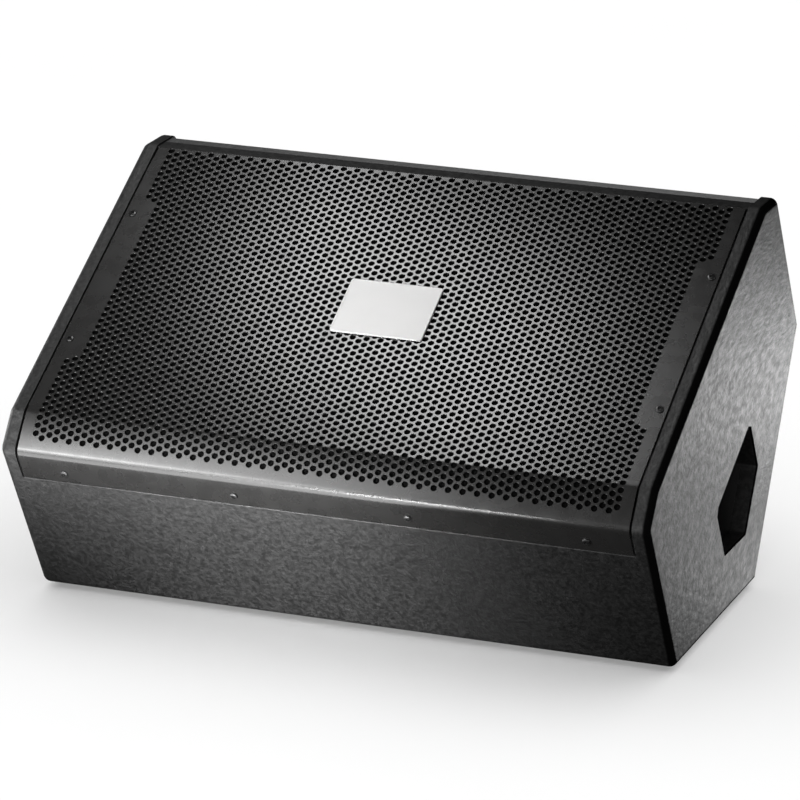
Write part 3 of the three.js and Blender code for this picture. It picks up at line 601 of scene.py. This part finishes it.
def build_cabinet():
    """Two cheeks and the five boards between them; the baffle and brace inside stay as CAD nodes."""
    cheek(-1, "cheek_left", "left_side_panel")
    cheek(1, "cheek_right", "right_side_panel")
    rebate = SHEET + REBATE_GAP
    board("front_board", [
        (rebate, LIP_END),
        (0, LIP_END, LIP_ROUND),
        (0, -FRONT_DEPTH, CORNER_ROUND),
        (PLY, floor_line(PLY)),
        (PLY, BAFFLE_FRONT - BOARD_GAP),
        (rebate, BAFFLE_FRONT - BOARD_GAP),
    ], "front_panel")
    board("floor_board", [
        (PLY, floor_line(PLY)),
        (KEEL_S, floor_line(KEEL_S)),
        (KEEL_S, floor_line(KEEL_S) + FLOOR_RISE),
        (PLY, floor_line(PLY) + FLOOR_RISE),
    ], "bottom_panel")
    inner = REAR_FACE - PLY
    board("second_floor_board", [
        (KEEL_S, second_line(KEEL_S) + SECOND_INSET),
        (inner, second_line(inner) + SECOND_INSET),
        (inner, second_line(inner) + SECOND_INSET + SECOND_RISE),
        (KEEL_S, second_line(KEEL_S) + SECOND_INSET + SECOND_RISE),
    ], "second_floor_panel")
    board("rear_board", [
        (inner, second_line(inner) + SECOND_INSET),
        (REAR_FACE, second_line(REAR_FACE) + SECOND_INSET, SOFT_CORNER),
        (REAR_FACE, chamfer_line(REAR_FACE), REAR_ROUND),
        (inner, chamfer_line(inner)),
    ], "rear_panel")
    front = GRILLE_TOP + RAIL["gap"]
    tongue = GRILLE_TOP - RAIL["tongue"]
    shelf = -SHEET - RAIL["shelf"]
    board("top_rail_board", [
        (tongue, BAFFLE_FRONT),
        (inner, BAFFLE_FRONT),
        (inner, chamfer_line(inner)),
        (front, chamfer_line(front), RAIL["round"]),
        (front, shelf),
        (tongue, shelf),
    ], "top_rail")


# ---- Grille

def turn_normal(angle):
    """The sheet's outward direction, as (s, n), once it has turned by angle."""
    return Vector((-math.sin(angle), math.cos(angle)))


def grille_stretches():
    """The bend, the bevel (a very shallow curve) and the roll: (radius, first angle, last angle)."""
    used = BEND["radius"] * math.sin(BEND["angle"]) + ROLL["radius"] * (1 - math.sin(ROLL["angle"]))
    bevel = (BEND["start"] - used) / (math.sin(ROLL["angle"]) - math.sin(BEND["angle"]))
    return [
        (BEND["radius"], 0.0, BEND["angle"]),
        (bevel, BEND["angle"], ROLL["angle"]),
        (ROLL["radius"], ROLL["angle"], math.pi / 2),
    ]


STRETCHES = grille_stretches()


def on_sheet(flat):
    """Where a height on the flattened sheet ends up once bent: its (s, n) and its outward normal."""
    place = Vector((BEND["start"], 0.0))
    if flat >= BEND["start"]:
        return Vector((flat, 0.0)), turn_normal(0.0)
    left = BEND["start"] - flat
    for radius, first, last in STRETCHES:
        centre = place - turn_normal(first) * radius
        length = radius * (last - first)
        if left <= length:
            angle = first + left / radius
            return centre + turn_normal(angle) * radius, turn_normal(angle)
        place = centre + turn_normal(last) * radius
        left -= length
    return place - Vector((0.0, left)), turn_normal(math.pi / 2)


def sheet_lines():
    """Heights of the grid lines on the flattened sheet, keyed by whole numbers."""
    low, high = LINES_UP * (ROWS[0] - 1), LINES_UP * (ROWS[1] + 1)
    lines = {j: ROW_ZERO_S + ROW * j / LINES_UP for j in range(low, high + 1)}
    lines[high] = GRILLE_TOP - TOP_HEM
    lines[high + 1] = GRILLE_TOP
    bend_end = BEND["start"] - sum(radius * (last - first) for radius, first, last in STRETCHES[:2])
    roll_length = STRETCHES[2][0] * (STRETCHES[2][2] - STRETCHES[2][1])
    roll_end = bend_end - roll_length
    lip_length = on_sheet(roll_end)[0].y - LIP_BOTTOM
    bevel_length = lines[low] - bend_end
    marks = [lines[low] - bevel_length * k / BEVEL_LINES for k in range(1, BEVEL_LINES + 1)]
    marks += [bend_end - roll_length * k / ROLL_LINES for k in range(1, ROLL_LINES + 1)]
    marks += [roll_end - lip_length * k / LIP_LINES for k in range(1, LIP_LINES + 1)]
    for k, mark in enumerate(marks):
        lines[low - 1 - k] = mark
    return lines


def column_lines(first, last):
    """The grid lines that bound a run of hole columns."""
    half = LINES_ACROSS // 2
    return LINES_ACROSS * first - half, LINES_ACROSS * last + half


def sheet_columns():
    """Positions of the grid lines across the sheet, keyed by whole numbers."""
    low, high = column_lines(*COLUMNS)
    columns = {i: COLUMN * i / LINES_ACROSS for i in range(low, high + 1)}
    edge = columns[high]
    for k in range(1, EDGE_LINES + 1):
        reach = edge + (GRILLE_HALF - edge) * k / EDGE_LINES
        columns[high + k] = reach
        columns[low - k] = -reach
    return columns


class Sheet(Builder):
    """One upright strip of the perforated sheet, from column to column. Lines are i across and j up."""

    def __init__(self, lines, columns):
        super().__init__()
        self.lines = lines
        self.columns = columns
        self.known = {}

    def point(self, x, flat, depth):
        """A new vertex at a height on the flattened sheet, depth below its face."""
        place, normal = on_sheet(flat)
        place = place - normal * depth
        self.points.append(at(x, place.x, place.y))
        return len(self.points) - 1

    def knot(self, i, j, back):
        """The vertex where two grid lines cross, on the front or the back."""
        key = (i, j, back)
        if key not in self.known:
            self.known[key] = self.point(self.columns[i], self.lines[j], SHEET if back else 0.0)
        return self.known[key]

    def plain(self, i0, i1, j0, j1):
        """Whole cells without holes, front and back."""
        for i in range(i0, i1):
            for j in range(j0, j1):
                loop = [(i, j), (i + 1, j), (i + 1, j + 1), (i, j + 1)]
                self.faces.append(tuple(self.knot(a, b, False) for a, b in loop))
                self.faces.append(tuple(self.knot(a, b, True) for a, b in reversed(loop)))

    def hole(self, u, v):
        """One hole and the sheet around it: from the front's grid lines, over the rim, to the back's."""
        i, j = LINES_ACROSS * u, LINES_UP * v
        steps = [(2, 0), (2, 1), (2, 2), (1, 2), (0, 2), (-1, 2), (-2, 2), (-2, 1)]
        around = steps + [(-a, -b) for a, b in steps]
        front = [self.knot(i + a, j + b, False) for a, b in around]
        back = [self.knot(i + a, j + b, True) for a, b in around]
        rings = [front]
        for radius, depth in (
            (HOLE_RADIUS + HOLE_RIM, 0.0), (HOLE_RADIUS, HOLE_RIM), (HOLE_RADIUS, SHEET),
        ):
            ring = []
            for k in range(HOLE_SIDES):
                angle = 2 * math.pi * k / HOLE_SIDES
                x = self.columns[i] + radius * math.cos(angle)
                ring.append(self.point(x, self.lines[j] + radius * math.sin(angle), depth))
            rings.append(ring)
        rings.append(back)
        for one, two in zip(rings, rings[1:]):
            self.bridge(one, two)

    def column(self, u):
        """A column of holes, plain above and below, and plain beside the flange screws."""
        first = ROWS[0] + (ROWS[0] + u) % 2
        last = ROWS[1] - (ROWS[1] + u) % 2
        i0, i1 = column_lines(u, u)
        self.plain(i0, i1, min(self.lines), LINES_UP * (first - 1))
        self.plain(i0, i1, LINES_UP * (last + 1), max(self.lines))
        at_side = abs(u) > COLUMNS[1] - PLAIN_COLUMNS
        for v in range(first, last + 1, 2):
            if at_side and PLAIN_ROWS[0] <= v <= PLAIN_ROWS[1]:
                self.plain(i0, i1, LINES_UP * (v - 1), LINES_UP * (v + 1))
            else:
                self.hole(u, v)

    def close(self, i0, i1):
        """The strip's four cut edges."""
        low, high = min(self.lines), max(self.lines)
        for j in range(low, high):
            for i in (i0, i1):
                self.faces.append((
                    self.knot(i, j, False), self.knot(i, j + 1, False),
                    self.knot(i, j + 1, True), self.knot(i, j, True),
                ))
        for i in range(i0, i1):
            for j in (low, high):
                self.faces.append((
                    self.knot(i, j, False), self.knot(i + 1, j, False),
                    self.knot(i + 1, j, True), self.knot(i, j, True),
                ))


def build_grille():
    """The sheet is meshed as three strips, which meet without a step."""
    lines = sheet_lines()
    columns = sheet_columns()
    for name, (first, last) in STRIPS.items():
        sheet = Sheet(lines, columns)
        i0, i1 = column_lines(first, last)
        for u in range(first, last + 1):
            sheet.column(u)
        if name == "left":
            sheet.plain(min(columns), i0, min(lines), max(lines))
            i0 = min(columns)
        if name == "right":
            sheet.plain(i1, max(columns), min(lines), max(lines))
            i1 = max(columns)
        sheet.close(i0, i1)
        piece = make_object("grille_sheet_" + name, sheet, weighted=False)
        finish_piece(piece, "grille_powder_coat", "grille")


def build_foam():
    """A sheet of open foam that follows the grille's bend, with a slightly uneven face."""
    rows, columns = FOAM_MESH["rows"], FOAM_MESH["columns"]
    build = Builder()
    face = SHEET + FOAM["gap"]
    for depth, uneven in ((face, FOAM_MESH["uneven"]), (face + FOAM["thick"], 0.0)):
        for j in range(rows + 1):
            place, normal = on_sheet(FOAM["low"] + (FOAM["high"] - FOAM["low"]) * j / rows)
            for i in range(columns + 1):
                x = FOAM["half"] * (2 * i / columns - 1)
                grain = noise.noise(Vector((x, place.x, depth)) * FOAM_MESH["grain"])
                spot = place - normal * (depth + uneven * (grain + 1) / 2)
                build.points.append(at(x, spot.x, spot.y))
    layer = (rows + 1) * (columns + 1)
    width = columns + 1
    for base in (0, layer):
        for j in range(rows):
            for i in range(columns):
                k = base + j * width + i
                build.faces.append((k, k + 1, k + 1 + width, k + width))
    edge = list(range(width))
    edge += [j * width + columns for j in range(1, rows + 1)]
    edge += [rows * width + i for i in range(columns - 1, -1, -1)]
    edge += [j * width for j in range(rows - 1, 0, -1)]
    build.bridge(edge, [k + layer for k in edge])
    finish_piece(make_object("foam_sheet", build, weighted=False), "foam", "grille_foam")


def build_badge():
    """A blank pale plate with a softened edge and a shallow raised border."""
    build = Builder()
    low = BADGE["gap"]
    high = low + BADGE["thick"]
    half_x, half_s, s, round_by = (BADGE[key] for key in ("half_x", "half_s", "s", "corner"))
    corners = [
        (-half_x, s - half_s, round_by),
        (half_x, s - half_s, round_by),
        (half_x, s + half_s, round_by),
        (-half_x, s + half_s, round_by),
    ]
    levels = [(0.0, low)] + [(inset, high - drop) for inset, drop in BADGE_EDGE]
    build.closed_loft([[at(x, up, n) for x, up in rounded(corners, inset)] for inset, n in levels])
    finish_piece(make_object("badge_blank", build), "badge_white", "badge_plate")


# ---- Fasteners, feet and turned parts

def in_grille_frame(point):
    """A world point's x, s and n."""
    arm = point - ORIGIN
    return arm.dot(ACROSS), arm.dot(UPHILL), arm.dot(OUT)


def corners_in_frame(node):
    """The least and greatest x, s and n of a CAD node."""
    points = [in_grille_frame(v.co) for v in frame["nodes"][node].data.vertices]
    lows = [min(p[k] for p in points) for k in range(3)]
    highs = [max(p[k] for p in points) for k in range(3)]
    return lows, highs


def turned(name, profile, centre, axis, segments=64):
    """A closed lathe body: profile is a list of (radius, height) along axis from centre."""
    build = Builder()
    side = axis.orthogonal().normalized()
    other = axis.cross(side)
    rings = []
    for radius, height in profile:
        ring = []
        for k in range(segments):
            angle = 2 * math.pi * k / segments
            reach = side * math.cos(angle) + other * math.sin(angle)
            ring.append(centre + reach * radius + axis * height)
        rings.append(ring)
    made = build.loft(rings)
    build.bridge(made[-1], made[0])
    return make_object(name, build)


def cross_recess(x, y):
    """1 inside a cross-shaped recess, 0 outside it, with short sloping walls. x and y are in head radii."""
    def inside(a, b):
        edge = min(RECESS["arm"] - abs(a), RECESS["reach"] - abs(b))
        return min(1.0, max(0.0, edge / RECESS["soft"] + 0.5))

    return max(inside(x, y), inside(y, x))


def head_profile(levels=22):
    """A pan head on its shank, from below: (share of the head's radius, height)."""
    profile = [(SCREW["shank"], -SCREW["length"]), (SCREW["shank"], SCREW["lift"]), (1.0, SCREW["lift"])]
    for k in range(levels + 1):
        share = 1 - k / levels
        crown = 0.35 + 0.65 * math.sqrt(max(0.0, 1 - share ** 3))
        profile.append((max(share, SCREW["core"]), SCREW["height"] * crown))
    return profile


def screw_head(name, node, centre, axis, segments=48):
    """A pan head with a cross recess, on a plain shank."""
    build = Builder()
    side = axis.orthogonal().normalized()
    other = axis.cross(side)
    loops = []
    for share, level in head_profile():
        loop = []
        for k in range(segments):
            angle = 2 * math.pi * k / segments
            x, y = share * math.cos(angle), share * math.sin(angle)
            dip = SCREW["height"] * RECESS["depth"] * cross_recess(x, y) if level > 0 else 0.0
            loop.append(centre + (side * x + other * y) * SCREW["radius"] + axis * (level - dip))
        loops.append(loop)
    build.closed_loft(loops)
    finish_piece(make_object(name, build, 40, weighted=False), "black_screw", node)


def build_screws():
    """Two screws in each side flange, four along the lip, each where its CAD node is."""
    for side in ("left", "right"):
        for k in (1, 2):
            node = f"grille_screw_{side}_{k}"
            lows, highs = corners_in_frame(node)
            centre = at((lows[0] + highs[0]) / 2, (lows[1] + highs[1]) / 2, 0)
            screw_head(f"flange_screw_{side}_{k}", node, centre, OUT)
    for k in (1, 2, 3, 4):
        node = f"grille_lip_screw_{k}"
        lows, highs = corners_in_frame(node)
        centre = at((lows[0] + highs[0]) / 2, 0, (lows[2] + highs[2]) / 2)
        screw_head(f"lip_screw_{k}", node, centre, -UPHILL)


def foot_profile(tall):
    """From the cabinet's face down, round the rim, and up into the well."""
    profile = [(FOOT["bore"], 0.0), (FOOT["top"], 0.0), (FOOT["shoulder"], FOOT["step"])]
    for angle in quarter_turn(6):
        reach = FOOT["rim"] + FOOT["round"] * math.cos(angle)
        profile.append((reach, tall - FOOT["round"] * (1 - math.sin(angle))))
    profile += [(FOOT_WELL["mouth"], tall), (FOOT_WELL["wall"], tall - FOOT_WELL["ease"])]
    profile += [(FOOT_WELL["wall"], FOOT_WELL["floor"]), (FOOT["bore"], FOOT_WELL["floor"])]
    return profile


def build_feet():
    """Rubber feet with a rounded rim, a well underneath and a screw hole."""
    down = Vector((0, 0, -1))
    for label in ("front_left", "front_right", "back_left", "back_right"):
        node = "foot_" + label
        low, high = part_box(node)
        centre = Vector(((low.x + high.x) / 2, (low.y + high.y) / 2, high.z))
        tall = high.z - low.z
        finish_piece(turned("rubber_" + node, foot_profile(tall), centre, down), "rubber", node)


# ---- Woofer

WOOFER_X, WOOFER_S = in_grille_frame(middle("woofer_dust_cap"))[:2]
WOOFER_CENTRE = at(WOOFER_X, WOOFER_S, BAFFLE_FRONT)


def woofer_part(name, profile, slot, node, body=None):
    """A turned piece on the woofer's axis; one without a body is blended afterwards."""
    part = turned(name, profile, WOOFER_CENTRE, OUT, 120)
    finish_piece(part, slot, node, body)
    return part


def sheet_profile(line, thick):
    """A closed profile: the line, then back along it at thick below."""
    return line + [(radius, height - thick) for radius, height in reversed(line)]


def shares(steps):
    """Evenly spaced numbers from 0 to 1."""
    return [k / steps for k in range(steps + 1)]


def build_cone():
    """The paper cone and its dust dome, on the moving body."""
    width = CONE["outer"] - CONE["inner"]
    cone = [
        (CONE["inner"] + width * share, CONE["back"] + CONE["rise"] * share ** CONE["curve"])
        for share in shares(24)
    ]
    profile = sheet_profile(cone, CONE["thick"])
    woofer_part("paper_cone", profile, "cone_paper", "woofer_cone", "cone_assembly")
    dome = [
        (DOME["inner"] + DOME["reach"] * share, DOME["top"] - DOME["drop"] * share ** DOME["curve"])
        for share in shares(20)
    ]
    profile = sheet_profile(dome, DOME["thick"])
    woofer_part("dust_dome", profile, "cone_paper", "woofer_dust_cap", "cone_assembly")


def build_suspension():
    """The half-round surround and the waved spider, which flex between the cone and the cabinet."""
    roll = []
    for share in shares(24):
        angle = math.pi - math.pi * share
        reach = SURROUND["middle"] + SURROUND["half"] * math.cos(angle)
        roll.append((reach, SURROUND["base"] + SURROUND["rise"] * math.sin(angle)))
    profile = sheet_profile(roll, SURROUND["thick"])
    surround = woofer_part("cloth_surround", profile, "treated_cloth", "woofer_surround")
    flex(surround, *SURROUND_FLEX)
    wave = []
    for share in shares(48):
        dip = SPIDER["wave"] * math.cos(2 * math.pi * SPIDER["waves"] * share)
        wave.append((SPIDER["inner"] + SPIDER["reach"] * share, SPIDER["base"] - dip))
    profile = sheet_profile(wave, SPIDER["thick"])
    spider = woofer_part("cloth_spider", profile, "treated_cloth", "woofer_spider")
    flex(spider, *SPIDER_FLEX)


def flex(piece, moving_radius, fixed_radius):
    """Lets a ring flex: its inner edge follows the cone and its outer edge stays with the cabinet."""
    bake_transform(piece, CABINET, "cone_assembly", start=(0, 0, 0), end=(0, 0, 1))
    weights = piece.data.attributes["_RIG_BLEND"]
    values = []
    for vertex in piece.data.vertices:
        arm = vertex.co - WOOFER_CENTRE
        radius = (arm - OUT * arm.dot(OUT)).length
        share = min(1.0, max(0.0, (fixed_radius - radius) / (fixed_radius - moving_radius)))
        values.append(share * share * (3 - 2 * share))
    weights.data.foreach_set("value", values)


# ---- Input pocket

def pocket_cup(side, name, node, holes=()):
    """A moulded cup with a flange, walls and a back, behind the cheek's opening. Rings are (growth, x)."""
    build = Builder()
    wall = POCKET["wall"]
    face = INNER_X - SEAM
    back = face - POCKET["depth"]
    rings = [
        (0.012, face - wall),
        (0.012, face),
        (0.0005, face),
        (0.0003, face - 0.001),
        (-0.0010, back + 0.004),
        (-0.0016, back + 0.0015),
        (-0.0030, back + 0.0003),
        (-0.0050, back),
    ]
    inner = build.loft([side_ring(side, x, pocket_outline(grow)) for grow, x in rings])
    outer = build.loft([
        side_ring(side, x, pocket_outline(grow))
        for grow, x in ((0.0035, face - wall), (0.0035, back - wall + 0.001), (0.0025, back - wall))
    ])
    build.bridge(inner[0], outer[0])
    fronts, backs = [], []
    for hole in holes:
        tube = build.loft([side_ring(side, x, hole) for x in (back, back - wall)])
        fronts.append(tube[0])
        backs.append(tube[1])
    build.cap(inner[-1], *fronts)
    build.cap(outer[-1], *backs)
    finish_piece(make_object(name, build), "black_plastic", node)


def circle(s, n, radius, count=40):
    """Points of a circle round (s, n)."""
    angles = [2 * math.pi * k / count for k in range(count)]
    return [Vector((s + radius * math.cos(angle), n + radius * math.sin(angle))) for angle in angles]


def box_outline(s, n, half_s, half_n, radius, steps):
    """A rectangle round (s, n) with rounded corners."""
    return rounded([
        (s - half_s, n - half_n, radius),
        (s + half_s, n - half_n, radius),
        (s + half_s, n + half_n, radius),
        (s - half_s, n + half_n, radius),
    ], steps=steps)


def build_pockets():
    """The right cup has holes for two sockets and the switch. The left one is plain."""
    holes = [circle(s, SOCKET_N, SOCKET["hole"]) for s in SOCKET_S]
    slot = box_outline(SWITCH["s"], SWITCH["n"], SWITCH["half_s"], SWITCH["half_n"], SWITCH["round"], 3)
    holes.append(slot)
    pocket_cup(1, "input_pocket_cup", "pocket_cup_right", holes)
    pocket_cup(-1, "hand_pocket_cup", "pocket_cup_left")


def build_sockets():
    """Round twist-lock sockets: a square flange, a raised collar, a deep round well and a centre post."""
    face = INNER_X - POCKET["depth"]
    for k, s in enumerate(SOCKET_S):
        build = Builder()
        flange = [(0.013, face), (0.013, face + 0.0018), (0.0123, face + 0.0025)]
        made = build.loft([
            side_ring(1, x, box_outline(s, SOCKET_N, half, half, SOCKET["round"], 9)) for half, x in flange
        ])
        count = len(made[0])
        well = [
            (0.0112, face + 0.0025), (0.0112, face + 0.0046), (0.0108, face + 0.005),
            (0.0096, face + 0.005), (0.0092, face + 0.0046), (0.0092, face - 0.014),
            (0.0067, face - 0.014), (0.0067, face + 0.0024), (0.0061, face + 0.003),
        ]
        inner = build.loft([side_ring(1, x, circle(s, SOCKET_N, radius, count)) for radius, x in well])
        tail = build.loft([
            side_ring(1, x, circle(s, SOCKET_N, radius, count))
            for radius, x in ((SOCKET["tail"], face), (SOCKET["tail"], face - SOCKET["length"]))
        ])
        build.cap(made[-1], inner[0])
        build.cap(made[0], tail[0])
        build.cap(inner[-1])
        build.cap(tail[-1])
        piece = make_object(f"input_socket_{k + 1}", build)
        finish_piece(piece, "black_plastic", f"speaker_socket_{k + 1}")


def build_switch():
    """The slider's tongue, on the moving body: a wide base behind the slot and a narrow neck through it."""
    low, high = corners_in_frame("mode_switch_slider")
    s, n = (low[1] + high[1]) / 2, (low[2] + high[2]) / 2
    build = Builder()
    base, neck = TONGUE["base"], TONGUE["neck"]
    levels = [(base, low[0]), (base, low[0] + 0.003), (neck, low[0] + 0.0031)]
    levels += [(neck, high[0] - 0.0006), (TONGUE["tip"], high[0])]
    build.closed_loft([
        side_ring(1, x, box_outline(s, n, half, TONGUE["half_n"], TONGUE["round"], 3)) for half, x in levels
    ])
    piece = make_object("switch_tongue", build)
    finish_piece(piece, "plated_steel", "mode_switch_slider", "switch_slider")


# ---- Studio

FLOOR_REACH = 9
BODY = (0, 0, 0.2)
WIDE = 180
NARROW = 36
BACK_BOARDS = ("rear_board", "second_floor_board", "floor_board")

# Softboxes: place, size, power in watts, what it lights, what it faces (None: it lies face up), any spread.
SOFTBOXES = {
    "over_grille": ((-0.28, 0.12, 1.15), (0.26, 0.42), 5.1, "object", (0, 0, 0.3)),
    "over_bend": ((-0.42, -0.91, 0.65), (0.35, 0.60), 4.7, "object", BODY),
    "left_of_bend": ((-0.70, -0.95, 0.60), (0.35, 0.50), 7.2, "object", BODY),
    "low_back": ((-0.4, 1.8, 0.05), (0.8, 0.3), 5.0, "object", BODY),
    "low_front": ((-0.10, -1.10, 0.06), (0.20, 0.12), 1.9, "object", (-0.06, -0.2, 0.04), NARROW),
    "along_roll": ((-0.72, -1.32, 0.42), (0.50, 0.80), 15.0, "grille", (-0.1, -0.24, 0.22)),
    "front_right": ((0.50, -1.20, 0.30), (0.40, 0.40), 5.0, "object", BODY),
    "right_of_back": ((1.15, 0.85, 0.10), (0.40, 0.20), 1.6, "object", (0.35, 0.08, 0.2)),
    "beside_back": ((0.55, 0.68, 0.04), (0.55, 0.12), 2.9, "object", (0.21, 0.60, 0.22)),
    "beside_keel": ((0.47, 0.44, -0.12), (0.20, 0.10), 0.36, "object", (0.346, 0.1, 0.07)),
    "floor_front": ((-0.32, -0.62, 0.01), (0.70, 0.60), 10.0, "object", None),
    "left_of_back": ((-2.2, 1.2, 0.5), (1.0, 0.8), 18.0, "back", BODY),
    "above_back": ((0, 1.3, 2.0), (1.2, 0.8), 34.0, "back", BODY),
    "left": ((-2.2, 0.2, 0.4), (1.0, 0.8), 30.0, "cheeks", BODY),
    "right": ((2.4, -0.2, 0.5), (1.0, 0.8), 15.0, "all_but_grille", BODY),
}


def build_floor():
    """A pale floor that only the camera sees, so the softboxes alone light the object, even from below."""
    surface = Finish("studio_floor", grey(0.82), 0.85)
    surface.colours(surface.noise(3, 2), grey(0.81), grey(0.83))
    build = Builder()
    signs = ((-1, -1), (1, -1), (1, 1), (-1, 1))
    build.ring([Vector((FLOOR_REACH * x, FLOOR_REACH * y, 0)) for x, y in signs])
    build.faces.append((0, 1, 2, 3))
    floor = make_object("studio_floor", build, weighted=False)
    floor.data.materials.append(surface.material)
    floor.visible_diffuse = False
    floor.visible_glossy = False
    floor.visible_shadow = False
    return floor


def linked(name, pieces, state="INCLUDE"):
    """A light-linking collection that holds only these pieces, included or excluded."""
    group = bpy.data.collections.new(name)
    for piece in pieces:
        group.objects.link(bpy.data.objects[piece])
    for member in group.collection_objects:
        member.light_linking.link_state = state
    return group


def add_light(name, data, place, receivers):
    obj = bpy.data.objects.new(name, data)
    bpy.context.scene.collection.objects.link(obj)
    obj.location = place
    obj.light_linking.receiver_collection = receivers
    return obj


def softbox(name, place, size, power, receivers, target, spread=WIDE):
    """A softbox that faces its target, or lies face up when it has none."""
    light = bpy.data.lights.new(name, "AREA")
    light.shape = "RECTANGLE"
    light.size, light.size_y = size
    light.energy = power
    light.spread = math.radians(spread)
    obj = add_light(name, light, place, receivers)
    obj.visible_camera = False
    if target:
        turn = (Vector(target) - Vector(place)).to_track_quat("-Z", "Y")
        obj.rotation_euler = turn.to_euler()
    else:
        obj.rotation_euler = (math.pi, 0, 0)


def sky_light(name, strength, shadow, receivers):
    """Even light from a wide part of the sky, with or without shadows."""
    light = bpy.data.lights.new(name, "SUN")
    light.angle = math.radians(120)
    light.energy = strength
    light.use_shadow = shadow
    add_light(name, light, (0, 0, 3), receivers)


def build_lights(floor):
    """Softboxes for the object, some for one side only, and even light for the floor."""
    sheets = ["grille_sheet_" + name for name in STRIPS]
    groups = {
        "object": linked("object", [floor.name], "EXCLUDE"),
        "grille": linked("grille_sheets", sheets),
        "back": linked("back_boards", BACK_BOARDS),
        "cheeks": linked("cheeks", ["cheek_left", "cheek_right"]),
        "all_but_grille": linked("all_but_grille", [floor.name, "badge_blank", *sheets], "EXCLUDE"),
    }
    for name, (place, size, power, group, target, *spread) in SOFTBOXES.items():
        softbox(name, place, size, power, groups[group], target, *spread)
    sweep = linked("floor_only", [floor.name])
    sky_light("sweep_light", 2.5, False, sweep)
    sky_light("sweep_shade", 1.3, True, sweep)


def build_world():
    """Pale to the camera and dim to everything else, so dark parts of the cabinet stay dark."""
    world = bpy.data.worlds.new("studio")
    world.use_nodes = True
    bpy.context.scene.world = world
    tree = world.node_tree
    seen = tree.nodes["Background"]
    seen.inputs["Color"].default_value = (0.95, 0.95, 0.95, 1)
    dim = tree.nodes.new("ShaderNodeBackground")
    dim.inputs["Color"].default_value = (0.03, 0.03, 0.03, 1)
    path = tree.nodes.new("ShaderNodeLightPath")
    mix = tree.nodes.new("ShaderNodeMixShader")
    tree.links.new(path.outputs["Is Camera Ray"], mix.inputs[0])
    tree.links.new(dim.outputs[0], mix.inputs[1])
    tree.links.new(seen.outputs[0], mix.inputs[2])
    tree.links.new(mix.outputs[0], tree.nodes["World Output"].inputs["Surface"])


CAMERA_PLACE = Vector((1.7085, -4.5187, 1.784))
CAMERA_AZIMUTH = math.radians(20.796)
CAMERA_ELEVATION = math.radians(18.166)
CAMERA_ROLL = math.radians(0.169)
CAMERA_LENS = 221.05


def build_camera():
    """The camera fitted to the photo's view, and plain colours."""
    camera = bpy.data.cameras.new("camera")
    camera.lens = CAMERA_LENS
    camera.sensor_width = 36
    obj = bpy.data.objects.new("camera", camera)
    bpy.context.scene.collection.objects.link(obj)
    turn = Matrix.Rotation(CAMERA_AZIMUTH, 4, "Z") @ Matrix.Rotation(math.pi / 2 - CAMERA_ELEVATION, 4, "X")
    obj.matrix_world = Matrix.Translation(CAMERA_PLACE) @ turn @ Matrix.Rotation(CAMERA_ROLL, 4, "Z")
    bpy.context.scene.camera = obj
    bpy.context.scene.view_settings.view_transform = "Standard"


dress_cad_nodes()
build_cabinet()
build_grille()
build_foam()
build_badge()
build_screws()
build_feet()
build_cone()
build_suspension()
build_pockets()
build_sockets()
build_switch()
build_world()
build_lights(build_floor())
build_camera()
